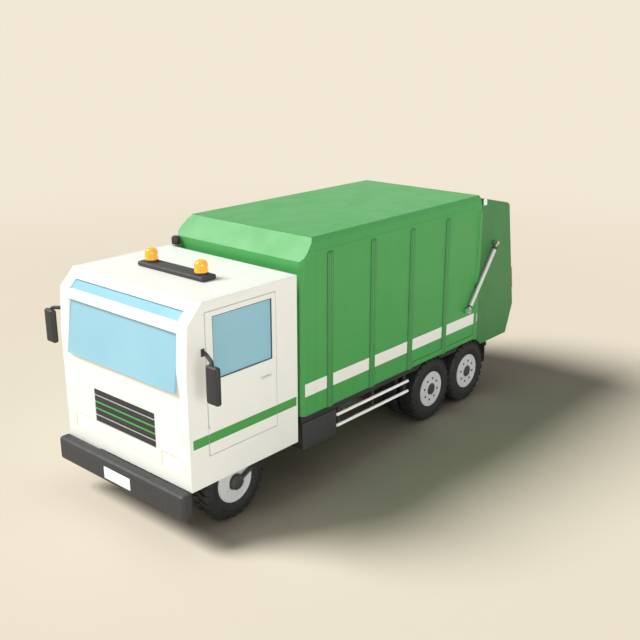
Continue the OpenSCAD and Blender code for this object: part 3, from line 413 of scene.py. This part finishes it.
def add_lathe(bm, profile, around=64, centre=(0, 0, 0), axis="Y", closed=True, place=None):
    """Turns (radius, height) points about an axis through centre, then moves them by place."""
    spin = {"Y": Matrix.Rotation(-math.pi / 2, 4, "X"), "Z": Matrix.Identity(4),
            "X": Matrix.Rotation(math.pi / 2, 4, "Y")}[axis]
    move = (place or Matrix.Identity(4)) @ Matrix.Translation(centre) @ spin
    rings = []
    for radius, height in profile:
        steps = range(around if radius > ON_AXIS else 1)
        angles = [2 * math.pi * k / around for k in steps]
        spots = [Vector((radius * math.cos(a), radius * math.sin(a), height)) for a in angles]
        rings.append([bm.verts.new(move @ spot) for spot in spots])
    for one, two in zip(rings, rings[1:]):
        bridge(bm, one, two)
    if closed:
        bridge(bm, rings[-1], rings[0])


def add_tube(bm, points, radius, around=14):
    """A tube with closed ends along a path of points."""
    points = [Vector(p) for p in points]
    side = None
    rings = []
    for i, p in enumerate(points):
        ahead = (points[min(i + 1, len(points) - 1)] - points[max(i - 1, 0)]).normalized()
        if side is None:
            side = ahead.orthogonal().normalized()
        side = (side - ahead * side.dot(ahead)).normalized()
        up = ahead.cross(side)
        angles = [2 * math.pi * k / around for k in range(around)]
        rings.append([bm.verts.new(p + (side * math.cos(a) + up * math.sin(a)) * radius)
                      for a in angles])
    for one, two in zip(rings, rings[1:]):
        bridge(bm, one, two)
    bm.faces.new(rings[0][::-1])
    bm.faces.new(rings[-1])


CURVE_STEPS = 8


def curve_points(points):
    """A smooth path through the points (Catmull-Rom)."""
    p = [Vector(v) for v in points]
    p = [2 * p[0] - p[1]] + p + [2 * p[-1] - p[-2]]
    path = []
    for a, b, c, d in zip(p, p[1:], p[2:], p[3:]):
        for k in range(CURVE_STEPS):
            t = k / CURVE_STEPS
            path.append(0.5 * (2 * b + (c - a) * t + (2 * a - 5 * b + 4 * c - d) * t * t
                               + (3 * b - a - 3 * c + d) * t ** 3))
    path.append(p[-2])
    return path


def hexa(bm, corners):
    """A solid with four corners below and the four matching ones above."""
    v = [bm.verts.new(c) for c in corners]
    for face in ((3, 2, 1, 0), (4, 5, 6, 7), (0, 1, 5, 4), (1, 2, 6, 5), (2, 3, 7, 6),
                 (3, 0, 4, 7)):
        bm.faces.new([v[i] for i in face])


SIDES = (("left", 1), ("right", -1))
INSET = 0.0005  # keeps a new face just inside the CAD solid that it covers
PANEL_Y = 1.265  # the outer face of the cab's sides and doors

# ------------------------------------------------------------------ wheels

TYRE_R = 0.520
TYRE_W = 0.300
TWIN = 0.345  # between the centres of twin tyres
FRONT_FACE, REAR_FACE = 1.128, 1.255  # the outer faces of the outer tyres
# (axle, x, outer face, twin wheels)
AXLES = (("front", 2.840, FRONT_FACE, False), ("middle", -1.383, REAR_FACE, True),
         ("rear", -2.441, REAR_FACE, True))

# (radius, place across the tyre) from the bead to the middle of the tread
TYRE_OUTLINE = [
    (0.288, -0.105), (0.292, -0.128), (0.306, -0.137), (0.322, -0.138), (0.330, -0.143),
    (0.356, -0.1475), (0.372, -0.1475), (0.376, -0.1498), (0.404, -0.1498), (0.408, -0.1475),
    (0.440, -0.1455), (0.470, -0.139), (0.492, -0.124), (0.500, -0.106), (0.503, -0.060),
    (0.504, 0.0),
]
LUGS = 26  # in each of the two rows
LUG_HALF = 0.30  # half a lug's width, as a share of the pitch
LUG_TAPER = 0.93  # a lug's width at its top, as a share of its width at its foot
TREAD_R = TYRE_R - INSET
# a lug is two blocks; each end is (place across the tyre, lean, foot radius, top radius)
LUG_BLOCKS = (
    # across the tread, leaning over as it nears the middle
    ((0.006, 0.34, 0.496, TREAD_R), (0.118, 0.0, 0.496, TREAD_R)),
    # from the shoulder down the side wall
    ((0.112, 0.0, 0.494, TREAD_R), (0.1475, 0.0, 0.452, 0.487)),
)

DISH = 0.014  # from the tyre's outer face in to the disc's face
DISC_THICK = 0.016
BEAD_R = 0.2895  # the rim where the tyre's beads sit on it
BARREL_R = 0.262  # the rim's well between the beads
DRUM_R = 0.120
DRUM_START = 0.03
DRUM_END = {False: 0.208, True: 0.645}  # single wheel, twin wheels
HUB_OUT = {False: 0.050, True: 0.006}
HUB_R = {False: 0.106, True: 0.098}
NUT_RING = 0.178
NUT_LENGTH = 0.013
WASHER = 0.003


def add_tyre(bm, x, y):
    """One tyre centred on (x, y): moulded carcass with bead and shoulder rings, and its lugs."""
    outline = TYRE_OUTLINE + [(r, -w) for r, w in reversed(TYRE_OUTLINE[:-1])]
    add_lathe(bm, outline, 104, (x, y, TYRE_R))
    pitch = 2 * math.pi / LUGS
    for row in (-1, 1):
        for k in range(LUGS):
            middle = k * pitch + (0.5 * pitch if row > 0 else 0)
            for block in LUG_BLOCKS:
                low, high = [], []
                for (across, lean, foot_r, top_r), way in zip(block, (-1, 1)):
                    for edge in (way * LUG_HALF, -way * LUG_HALF):
                        for r, taper, store in ((foot_r, 1.0, low), (top_r, LUG_TAPER, high)):
                            a = middle + (edge * taper + lean) * pitch
                            store.append((x + r * math.cos(a), y + row * across,
                                          TYRE_R + r * math.sin(a)))
                hexa(bm, low + high)


def add_disc(bm, x, face_y, side):
    """A wheel disc and rim barrel seen from outside: bevelled edge and a raised centre."""
    # profile is (radius, distance inwards from the tyre's outer face)
    raised = DISH - 0.006
    back = DISH + DISC_THICK
    profile = [
        (0.0, raised), (0.118, raised), (0.124, DISH), (0.268, DISH), (0.276, raised),
        (BEAD_R, 0.012), (BEAD_R, 0.060), (0.272, 0.068), (BARREL_R, 0.100), (BARREL_R, 0.238),
        (BEAD_R, 0.262), (BEAD_R, 0.276), (0.254, 0.276), (0.254, back), (0.0, back),
    ]
    add_lathe(bm, [(r, -side * d) for r, d in profile], 48, (x, side * face_y, TYRE_R),
              closed=False)


def add_nuts(bm, x, face_y, side, count, size, turn):
    """Hexagon nuts with washers, on the disc round the wheel's centre."""
    for k in range(count):
        a = turn + 2 * math.pi * k / count
        centre = (x + NUT_RING * math.cos(a), side * face_y, TYRE_R + NUT_RING * math.sin(a))
        foot = -side * (DISH - INSET)
        top = foot + side * NUT_LENGTH
        washer_r, washer_top = size * 1.5, foot + side * WASHER
        add_lathe(bm, [(0, foot), (washer_r, foot), (washer_r, washer_top), (0, washer_top)], 16,
                  centre, closed=False)
        add_lathe(bm, [(0, foot), (size, foot), (size, foot + side * (NUT_LENGTH - WASHER)),
                       (size * 0.8, top), (0, top)], 6, centre, closed=False)


for where, side in SIDES:
    for axle, x, face, twin in AXLES:
        place_name = axle + "_" + where
        body = ("wheels_" if twin else "wheel_") + place_name
        centre = (x, side * face, TYRE_R)
        bm = bmesh.new()
        add_tyre(bm, x, side * (face - TYRE_W / 2))
        if twin:
            add_tyre(bm, x, side * (face - TYRE_W / 2 - TWIN))
        tyre = piece(("twin_tyres_" if twin else "tyre_moulded_") + place_name, bm, "tyre", body,
                     sharp=30)
        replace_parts(tyre, ("tyres_" if twin else "tyre_") + place_name)

        bm = bmesh.new()
        add_disc(bm, x, face, side)
        if twin:
            add_disc(bm, x, face - TWIN, side)
        # drum behind the disc, through to the inner wheel and the axle tube on twin wheels
        end = -side * DRUM_END[twin]
        add_lathe(bm, [(DRUM_R, -side * DRUM_START), (DRUM_R, end), (DRUM_R / 2, end)], 40,
                  centre, closed=False)
        rim = piece(("twin_rims_" if twin else "rim_disc_") + place_name, bm, "rim", body,
                    sharp=25)
        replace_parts(rim, ("rims_" if twin else "rim_") + place_name)

        bm = bmesh.new()
        out, cap = HUB_OUT[twin], HUB_R[twin]
        add_lathe(bm, [(0, side * out), (cap * 0.80, side * out),
                       (cap * 0.93, side * (out - 0.005)), (cap, side * (out - 0.014)),
                       (cap, -side * 0.02), (0, -side * 0.02)], 40, centre, closed=False)
        if twin:
            add_nuts(bm, x, face, side, 8, 0.0125, 0.2)
        else:
            # grab bar across the hub, rising towards the rim's rear
            middle = Vector((x - 0.075, side * (face + 0.030), TYRE_R + 0.034))
            half = Vector((0.205, 0.022, 0.021))
            add_box(bm, middle - half, middle + half, 0.006, 2,
                    Matrix.Rotation(math.radians(24), 4, "Y"))
        piece("hub_" + place_name, bm, "hub", body, sharp=30)
        if not twin:
            bm = bmesh.new()
            add_nuts(bm, x, face, side, 6, 0.017, 0.35)
            piece("wheel_nuts_" + place_name, bm, "rim", body, sharp=30)

# ------------------------------------------------------------------ bumper, plate, lamps and grille

PLATE_HALF_W, PLATE_HALF_H = 0.27, 0.082
lo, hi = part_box("front_bumper")
bm = bmesh.new()
# the bumper's face stands back so that the plate stays inside the CAD box
add_box(bm, lo, (hi[0] - 0.009, hi[1], hi[2]), 0.046, 6)
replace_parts(piece("bumper_moulding", bm, "dark", "chassis"), "front_bumper")
bm = bmesh.new()
plate_z = (lo[2] + hi[2]) / 2 - 0.022
add_box(bm, (hi[0] - 0.014, -PLATE_HALF_W, plate_z - PLATE_HALF_H),
        (hi[0] - INSET, PLATE_HALF_W, plate_z + PLATE_HALF_H), 0.005, 3)
piece("blank_number_plate", bm, "plate", "chassis")

lo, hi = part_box("grille")
SLATS = 5
pitch = (hi[2] - lo[2]) / SLATS
for k in range(1, SLATS):
    z = lo[2] + k * pitch
    light = k in (1, SLATS - 1)
    half = 0.0045 if light else 0.0095
    bm = bmesh.new()
    add_box(bm, (hi[0] - 0.018, lo[1] + 0.006, z - half), (hi[0] + 0.001, hi[1] - 0.006, z + half),
            0.003, 2)
    piece("grille_strip_%d" % k, bm, "line_light" if light else "line_green", "cab")

LAMP_Y0, LAMP_Y1 = 0.720, 1.080
BEZEL = 0.010
BEZEL_OUT = 0.006
lo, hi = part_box("head_lamps")
for where, side in SIDES:
    y0, y1 = sorted((side * LAMP_Y0, side * LAMP_Y1))
    z0, z1 = lo[2], hi[2]
    bm = bmesh.new()
    # thin bezel round the lamp: top, bottom and the two ends
    for ya, yb, za, zb in ((y0, y1, z1 - BEZEL, z1), (y0, y1, z0, z0 + BEZEL),
                           (y0, y0 + BEZEL, z0 + BEZEL, z1 - BEZEL),
                           (y1 - BEZEL, y1, z0 + BEZEL, z1 - BEZEL)):
        add_box(bm, (hi[0], ya, za), (hi[0] + BEZEL_OUT, yb, zb), 0.002, 2)
    piece("lamp_bezel_" + where, bm, "yellow", "cab")

# ------------------------------------------------------------------ roof lights

BAR_RIB_PITCH = 0.11
lo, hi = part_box("light_bar")
bm = bmesh.new()
add_box(bm, lo, hi, 0.026, 5)
for k in range(-2, 3):
    # shallow ribs over the bar's top, as on a moulded cover
    add_box(bm, (lo[0] + 0.03, k * BAR_RIB_PITCH - 0.006, hi[2] - 0.012),
            (hi[0] - 0.03, k * BAR_RIB_PITCH + 0.006, hi[2] - INSET), 0.003, 2)
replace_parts(piece("light_bar_cover", bm, "dark", "cab"), "light_bar")

DOME_STEPS = 7
DOME_RISE = 0.075
lo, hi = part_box("beacons")
beacon_r = (hi[0] - lo[0]) / 2
top = hi[2] - lo[2]
dome = [(0, top)]
for k in range(1, DOME_STEPS + 1):
    a = math.pi / 2 * k / DOME_STEPS
    dome.append(((beacon_r - 0.004) * math.sin(a) ** 0.8, top - DOME_RISE * (1 - math.cos(a))))
dome += [(beacon_r - 0.003, 0.06), (beacon_r - 0.001, 0.028), (0, 0.028)]
bm, base = bmesh.new(), bmesh.new()
for _, side in SIDES:
    centre = ((lo[0] + hi[0]) / 2, side * (hi[1] - beacon_r), lo[2])
    add_lathe(bm, dome, 48, centre, "Z", closed=False)
    add_lathe(base, [(0, 0.030), (beacon_r - 0.006, 0.030), (beacon_r, 0.024), (beacon_r, 0.0),
                     (0, 0.0)], 48, centre, "Z", closed=False)
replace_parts(piece("beacon_domes", bm, "amber", "cab"), "beacons")
piece("beacon_bases", base, "dark", "cab")

# ------------------------------------------------------------------ mirrors

lo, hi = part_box("mirrors")
HEAD = Vector((0.080, 0.200, 0.470))
GLASS_MARGIN = 0.03
ARM_R = 0.025
head_x = hi[0] - HEAD.x / 2
head_z = lo[2] + HEAD.z / 2
foot_x = lo[0] + 0.03
foot_z = head_z + 0.261
bm, glassy, arms = bmesh.new(), bmesh.new(), bmesh.new()
for _, side in SIDES:
    middle = Vector((head_x, side * (hi[1] - HEAD.y / 2), head_z))
    low, high = middle - HEAD / 2, middle + HEAD / 2
    add_box(bm, low, high, 0.032, 6)
    add_box(glassy, (low.x - INSET, low.y + GLASS_MARGIN, low.z + GLASS_MARGIN),
            (low.x + 0.006, high.y - GLASS_MARGIN, high.z - GLASS_MARGIN), 0.003, 2)
    path = [(foot_x, side * 1.270, foot_z), (foot_x + 0.01, side * 1.33, foot_z + 0.002),
            (head_x - 0.05, side * 1.54, foot_z + 0.002),
            (head_x - 0.008, side * 1.600, foot_z - 0.016),
            (head_x, side * 1.618, head_z + 0.18)]
    add_tube(arms, curve_points(path), ARM_R, 16)
    # foot plate on the cab's side
    y0, y1 = sorted((side * (PANEL_Y + 0.0002), side * 1.277))
    add_box(arms, (foot_x - 0.026, y0, foot_z - 0.048), (foot_x + 0.026, y1, foot_z + 0.048),
            0.005, 3)
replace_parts(piece("mirror_heads", bm, "mirror_case", "cab"), "mirrors")
piece("mirror_faces", glassy, "mirror", "cab")
piece("mirror_arms", arms, "mirror_case", "cab")

# ------------------------------------------------------------------ exhaust

PIPE_R = 0.042
CLAMP_R = 0.048
lo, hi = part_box("exhaust_stack")
ex, ey = (lo[0] + hi[0]) / 2, lo[1] + 0.060
bm = bmesh.new()
add_lathe(bm, [(PIPE_R, 0.90), (PIPE_R, 3.10), (0.038, 3.10), (0.038, 0.90)], 40, (ex, ey, 0),
          "Z")
# elbow at the foot and the run in to the engine
add_tube(bm, [(ex, ey, 0.93), (ex, ey, 0.90), (ex, ey + 0.012, 0.872), (ex, ey + 0.04, 0.860),
              (ex, -0.456, 0.860)], PIPE_R, 24)
for z in (1.5, 2.3):
    add_lathe(bm, [(PIPE_R, z), (CLAMP_R, z + 0.004), (CLAMP_R, z + 0.036), (PIPE_R, z + 0.040)],
              40, (ex, ey, 0), "Z")
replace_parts(piece("exhaust_pipe", bm, "chrome", "chassis"), "exhaust_stack")
bm = bmesh.new()
cap = [(0, 0.002), (0.030, 0.001), (0.050, 0.010), (0.0595, 0.028), (0.0595, 0.112),
       (0.054, 0.120), (0.0425, 0.120), (0.0425, 0.100), (0, 0.100)]
add_lathe(bm, [(r, hi[2] - down) for r, down in cap], 40, (ex, ey, 0), "Z", closed=False)
piece("exhaust_cap", bm, "mirror_case", "chassis")

# ------------------------------------------------------------------ seats

PAD_CELLS = 12
PULL_IN = 0.035  # how far a pad's sides draw in at their middles, as a share of its half width
GROOVE_DEPTH, GROOVE_AT, GROOVE_WIDTH = 0.014, 0.52, 0.07


def add_cushion(bm, low, high, crown, turn=None):
    """A crowned pad: sides pull in between the corners, flat underneath where it rests."""
    n = PAD_CELLS
    cx, cy = (low[0] + high[0]) / 2, (low[1] + high[1]) / 2
    wx, wy = (high[0] - low[0]) / 2, (high[1] - low[1]) / 2
    top, under = {}, {}
    for i in range(n + 1):
        for j in range(n + 1):
            u, v = 2 * i / n - 1, 2 * j / n - 1
            x = wx * u * (1 - PULL_IN * (1 - v * v))
            y = wy * v * (1 - PULL_IN * (1 - u * u))
            dome = ((1 - u ** 4) * (1 - v ** 4)) ** 0.45
            sewn = math.exp(-((abs(v) - GROOVE_AT) / GROOVE_WIDTH) ** 2) * (1 - u ** 4)
            spot = Vector((cx + x, cy + y, high[2] - crown + crown * dome - GROOVE_DEPTH * sewn))
            base = Vector((cx + x * 0.99, cy + y * 0.99, low[2]))
            top[i, j] = bm.verts.new(turn @ spot if turn else spot)
            under[i, j] = bm.verts.new(turn @ base if turn else base)
    for i in range(n):
        for j in range(n):
            bm.faces.new((top[i, j], top[i + 1, j], top[i + 1, j + 1], top[i, j + 1]))
            bm.faces.new((under[i, j], under[i, j + 1], under[i + 1, j + 1], under[i + 1, j]))
    rim = ([(k, 0) for k in range(n)] + [(n, k) for k in range(n)]
           + [(k, n) for k in range(n, 0, -1)] + [(0, k) for k in range(n, 0, -1)])
    for a, b in zip(rim, rim[1:] + rim[:1]):
        bm.faces.new((top[a], under[a], under[b], top[b]))


SEAT_Y = 0.640
BACK_X = 2.285
BACK_LEAN = math.radians(-81)
lo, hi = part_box("seats")
floor_z = lo[2]
bm = bmesh.new()
for _, side in SIDES:
    y = side * SEAT_Y
    add_box(bm, (BACK_X + 0.01, y - 0.17, floor_z + INSET),
            (BACK_X + 0.41, y + 0.17, floor_z + 0.298), 0.02, 3)
    for x in (BACK_X - 0.01, BACK_X + 0.38):
        add_box(bm, (x, y - 0.225, floor_z + 0.27), (x + 0.1, y + 0.225, floor_z + 0.3), 0.008, 2)
piece("seat_stands", bm, "trim", "cab")
for where, side in SIDES:
    y = side * SEAT_Y
    bm = bmesh.new()
    add_cushion(bm, (BACK_X - 0.01, y - 0.235, floor_z + 0.300),
                (BACK_X + 0.49, y + 0.235, floor_z + 0.438), 0.06)
    pad = piece("seat_cushion_" + where, bm, "cloth", "cab", sharp=60, subdivide=1)
    # the back leans with its CAD solid: a pad built flat, then stood up
    lean = (Matrix.Translation((BACK_X + 0.052, y, floor_z + 0.45))
            @ Matrix.Rotation(BACK_LEAN, 4, "Y"))
    bm = bmesh.new()
    add_cushion(bm, (0.0, -0.225, -0.058), (0.700, 0.225, 0.058), 0.045, lean)
    back = piece("seat_back_" + where, bm, "cloth", "cab", sharp=60, subdivide=1)
    if side > 0:
        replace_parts(pad, "seats")

# ------------------------------------------------------------------ door handles, seals and rests

HANDLE_X0, HANDLE_X1, HANDLE_Z = 2.317, 2.489, 1.868
WINDOW_X0, WINDOW_X1, WINDOW_Z0, WINDOW_Z1 = 2.268, 3.258, 2.080, 2.878
SEAL_Y0, SEAL_Y1 = 1.2430, 1.2632
# the top and front strips are wider than the others, as painted shade along the window's recess
SEAL_TOP, SEAL_EDGE, SEAL_FRONT = 0.010, 0.007, 0.009  # the edge is the sill's and the rear's
REST_Y, REST_DEEP = 1.215, 0.05
seal_z0, seal_z1 = WINDOW_Z0 + SEAL_EDGE, WINDOW_Z1 - SEAL_TOP
seal_parts = (
    (WINDOW_X0, WINDOW_X1, seal_z1, WINDOW_Z1), (WINDOW_X0, WINDOW_X1, WINDOW_Z0, seal_z0),
    (WINDOW_X0, WINDOW_X0 + SEAL_EDGE, seal_z0, seal_z1),
    (WINDOW_X1 - SEAL_FRONT, WINDOW_X1, seal_z0, seal_z1),
)
for where, side in SIDES:
    # pull handle on two feet
    bm = bmesh.new()
    y0, y1 = sorted((side * (PANEL_Y + 0.010), side * (PANEL_Y + 0.030)))
    add_box(bm, (HANDLE_X0, y0, HANDLE_Z - 0.016), (HANDLE_X1, y1, HANDLE_Z + 0.016), 0.009, 4)
    y0, y1 = sorted((side * PANEL_Y, side * (PANEL_Y + 0.014)))
    for x in (HANDLE_X0 + 0.018, HANDLE_X1 - 0.018):
        add_box(bm, (x - 0.014, y0, HANDLE_Z - 0.011), (x + 0.014, y1, HANDLE_Z + 0.011),
                0.004, 2)
    piece("door_handle_" + where, bm, "handle", where + "_door")
    # thin seal round the window: a real seal, dark and wider at the top and front as painted shade
    # of the window's recess
    bm = bmesh.new()
    y0, y1 = sorted((side * SEAL_Y0, side * SEAL_Y1))
    for xa, xb, za, zb in seal_parts:
        add_box(bm, (xa, y0, za), (xb, y1, zb), 0.002, 1)
    piece("window_seal_painted_shade_" + where, bm, "seal", where + "_door")
    # arm rest inside, under the window
    bm = bmesh.new()
    y0, y1 = sorted((side * REST_Y, side * (REST_Y - REST_DEEP)))
    add_box(bm, (2.45, y0, 1.90), (3.10, y1, 1.96), 0.02, 4)
    piece("arm_rest_" + where, bm, "trim", where + "_door")

# ------------------------------------------------------------------ tailgate and lift cylinders

HINGE_X, HINGE_Z = -2.6775, 3.440
for where, side in SIDES:
    # bright hinge plate over the tailgate's top corner, with a round boss on it; its white paint
    # glows faintly as painted light
    bm = bmesh.new()
    y0, y1 = sorted((side * 1.2405, side * 1.262))
    add_box(bm, (HINGE_X - 0.100, y0, HINGE_Z - 0.115), (HINGE_X - 0.012, y1, HINGE_Z - 0.030),
            0.008, 3)
    add_lathe(bm, [(0, y0), (0.034, y0), (0.034, y1 - 0.004), (0.030, y1), (0, y1)], 32,
              (HINGE_X - 0.050, 0, HINGE_Z - 0.045), closed=False)
    piece("hinge_plate_" + where, bm, "rods", "tailgate")

LIFT_FOOT, LIFT_HEAD, LIFT_Y = Vector((-2.295, 0, 1.640)), Vector((-3.085, 0, 2.645)), 1.309
BARREL_OUTER = 0.0295
GLAND_R, SLEEVE_R = 0.0405, 0.038
GLAND = 0.050
SLEEVE_START = 0.085
lift = LIFT_HEAD - LIFT_FOOT
lift_turn = lift.to_track_quat("Z", "Y").to_matrix().to_4x4()
barrel_top = lift.length - 0.078
for where, side in SIDES:
    along = Matrix.Translation((LIFT_FOOT.x, side * LIFT_Y, LIFT_FOOT.z)) @ lift_turn
    bm = bmesh.new()
    for z0, z1 in ((barrel_top - GLAND, barrel_top - INSET), (0.062, SLEEVE_START)):
        add_lathe(bm, [(BARREL_OUTER, z0), (GLAND_R - 0.002, z0), (GLAND_R, z0 + 0.002),
                       (GLAND_R, z1 - 0.002), (GLAND_R - 0.002, z1), (BARREL_OUTER, z1)],
                  32, axis="Z", place=along)
    piece("cylinder_glands_" + where, bm, "hub", where + "_barrel")
    bm = bmesh.new()
    z0, z1 = SLEEVE_START, barrel_top - GLAND
    add_lathe(bm, [(BARREL_OUTER, z0), (SLEEVE_R, z0), (SLEEVE_R, z1), (BARREL_OUTER, z1)],
              40, axis="Z", place=along)
    piece("cylinder_sleeve_" + where, bm, "steel", where + "_barrel")

# each lamp cluster: three round lenses in dark rings, up the slope of the tailgate's back
SLOPE_X, SLOPE_Z0, SLOPE_Z1, SLOPE_RUN = -3.865, 1.405, 3.220, 0.320
SLOPE = math.atan2(0.3204, 1.8154)
LENS_Y, LENS_Z, LENS_PITCH = 1.210, 1.705 + 0.065, 0.125
RING_PROFILE = [(0.028, 0.0), (0.028, 0.006), (0.025, 0.008), (0.0235, 0.006), (0.0235, 0.0)]
LENS_PROFILE = [(0, 0.006), (0.012, 0.0055), (0.0235, 0.003), (0.0235, -0.004), (0, -0.004)]
for where, side in SIDES:
    rings, red, amber = bmesh.new(), bmesh.new(), bmesh.new()
    for k, lens in enumerate((red, amber, red)):
        z = LENS_Z + k * LENS_PITCH
        x = SLOPE_X + SLOPE_RUN * (z - SLOPE_Z0) / (SLOPE_Z1 - SLOPE_Z0)
        outwards = (Matrix.Translation((x, side * LENS_Y, z))
                    @ Matrix.Rotation(math.pi / 2 + SLOPE, 4, "Y")
                    @ Matrix.Rotation(math.pi, 4, "X"))
        add_lathe(rings, RING_PROFILE, 32, axis="Z", place=outwards)
        add_lathe(lens, LENS_PROFILE, 32, axis="Z", closed=False, place=outwards)
    piece("tail_lamp_rings_" + where, rings, "dark", "tailgate")
    piece("tail_lamp_red_" + where, red, "red", "tailgate")
    piece("tail_lamp_amber_" + where, amber, "amber", "tailgate")

# rolled edge along the loading sill
bm = bmesh.new()
add_tube(bm, [(-3.832, -1.179, 1.402), (-3.832, 1.179, 1.402)], 0.024, 20)
piece("sill_edge", bm, "worn", "tailgate")

# ------------------------------------------------------------------ body ribs and guard rods

BODY_X1, BODY_LEN = 1.678, 4.348
RIBS = 4
FIRST_RIB, REAR_POST = 0.553, 0.047  # from the body's front, and from its rear
RIB_HALF, RIB_OUT = 0.060, 0.0255
RIB_FOOT_Y = 1.2398
ARC = 12
# (height, how far it stands out) up a pressing, whose top slopes back into the side
RIB_LEVELS = ((1.0475, 1.0), (3.232, 1.0), (3.250, 0.82), (3.262, 0.45), (3.266, 0.05))
# the pressings take the darker rib green, as painted shade along each rib
for where, side in SIDES:
    bm = bmesh.new()
    for k in range(RIBS):
        x = BODY_X1 - FIRST_RIB - k * (BODY_LEN - FIRST_RIB - REAR_POST) / RIBS
        rings = []
        for z, out in RIB_LEVELS:
            ring = []
            for j in range(ARC + 1):
                a = math.pi * j / ARC
                u = math.copysign(abs(math.cos(a)) ** 0.75, math.cos(a))
                across = RIB_HALF * u * (0.6 + 0.4 * out)
                y = side * (RIB_FOOT_Y + RIB_OUT * out * math.sin(a) ** 0.6)
                ring.append(bm.verts.new((x + across, y, z)))
            rings.append(ring)
        for one, two in zip(rings, rings[1:]):
            bridge(bm, one, two)
        bm.faces.new(rings[0][::-1])
        bm.faces.new(rings[-1])
    piece("rib_pressings_" + where, bm, "rib", "chassis", sharp=50)

ROD_R, ROD_CHAMFER = 0.023, 0.004
lo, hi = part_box("side_guards")
x0, x1 = lo[0], hi[0]
rod = [(0, x0), (ROD_R - ROD_CHAMFER, x0), (ROD_R, x0 + ROD_CHAMFER), (ROD_R, x1 - ROD_CHAMFER),
       (ROD_R - ROD_CHAMFER, x1), (0, x1)]
for where, side in SIDES:
    # the rods' white paint glows faintly as painted light
    bm = bmesh.new()
    for z in (0.845, 0.678):
        add_lathe(bm, rod, 24, (0, side * 1.223, z), "X", closed=False)
    piece("guard_rods_" + where, bm, "rods", "chassis")

# ------------------------------------------------------------------ side boxes

BOX_DEEP = 0.380
lo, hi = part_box("side_boxes")
for where, side in SIDES:
    bm = bmesh.new()
    y0, y1 = sorted((side * (hi[1] - BOX_DEEP), side * hi[1]))
    add_box(bm, (lo[0], y0, lo[2]), (hi[0], y1, hi[2]), 0.018, 4)
    box = piece("side_box_shell_" + where, bm, "dark", "chassis")
    if side > 0:
        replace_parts(box, "side_boxes")

# ------------------------------------------------------------------ floor, light and background

BACKDROP = rgb(242, 232, 213)
SKY = (1.0, 0.985, 0.955, 1.0)
FLOOR_TONES = (0.77, 0.70, 0.578, 1), (0.785, 0.715, 0.593, 1)
FADE_FROM, FADE_TO = 9.0, 26.0  # where the floor turns into the backdrop's plain colour


def floor_material():
    """Pale paper that fades with distance into the backdrop's colour."""
    s = Shader("floor_paper")
    base = s.mix(s.span(s.noise(6.0, 2), 0, 1), *FLOOR_TONES)
    s.feed(s.bsdf.inputs["Base Color"], base)
    s.bsdf.inputs["Roughness"].default_value = 0.95
    s.bsdf.inputs["Specular IOR Level"].default_value = 0.0
    glow = s.add("ShaderNodeEmission")
    glow.inputs["Color"].default_value = BACKDROP
    x, y, _ = s.xyz()
    square = s.math("ADD", s.math("MULTIPLY", x, x), s.math("MULTIPLY", y, y))
    fade = s.span(s.math("SQRT", square), 0.0, 1.0, FADE_FROM, FADE_TO)
    s.tree.nodes[fade.node.name].interpolation_type = "SMOOTHSTEP"
    s.blend(fade, glow.outputs[0])
    return s.mat


bm = bmesh.new()
bmesh.ops.create_circle(bm, cap_ends=True, segments=96, radius=120)
mesh = bpy.data.meshes.new("floor")
bm.to_mesh(mesh)
bm.free()
mesh.materials.append(floor_material())
floor = bpy.data.objects.new("floor", mesh)
scene.collection.objects.link(floor)

world = bpy.data.worlds.new("studio")
scene.world = world
world.use_nodes = True
tree = world.node_tree
tree.nodes.clear()
rays = tree.nodes.new("ShaderNodeLightPath")


def background(colour, strength=1.0):
    node = tree.nodes.new("ShaderNodeBackground")
    node.inputs["Color"].default_value = colour
    node.inputs["Strength"].default_value = strength
    return node.outputs[0]


def choose(ray, otherwise, seen):
    """What one kind of ray sees, and what the other rays see."""
    node = tree.nodes.new("ShaderNodeMixShader")
    for socket, source in zip(node.inputs, (rays.outputs[ray], otherwise, seen)):
        tree.links.new(source, socket)
    return node.outputs[0]


# paint, glass and metal mirror a brighter studio than the one that lights the scene
studio = choose("Is Glossy Ray", background(SKY, 0.17), background(SKY, 0.75))
surroundings = choose("Is Camera Ray", studio, background(BACKDROP))
world_out = tree.nodes.new("ShaderNodeOutputWorld")
tree.links.new(surroundings, world_out.inputs["Surface"])


def sun(name, toward, strength, spread, colour=(1, 1, 1)):
    """A distant lamp; toward is the direction from the truck to the lamp."""
    data = bpy.data.lights.new(name, "SUN")
    data.energy = strength
    data.angle = math.radians(spread)
    data.color = colour
    lamp = bpy.data.objects.new(name, data)
    lamp.rotation_euler = Vector(toward).to_track_quat("Z", "Y").to_euler()
    scene.collection.objects.link(lamp)
    return lamp


sun("key", (0.66, -0.74, 0.97), 4.05, 27, (1.0, 0.99, 0.965))
fill = sun("fill", (0.37, 0.90, 0.08), 2.42, 40)
# the fill lights the truck and not the floor, so that the shadow stays deep
lit = bpy.data.collections.new("lit_by_fill")
for obj in list(scene.objects):
    if obj.type == "MESH" and obj != floor:
        lit.objects.link(obj)
fill.light_linking.receiver_collection = lit

scene.view_settings.view_transform = "Standard"
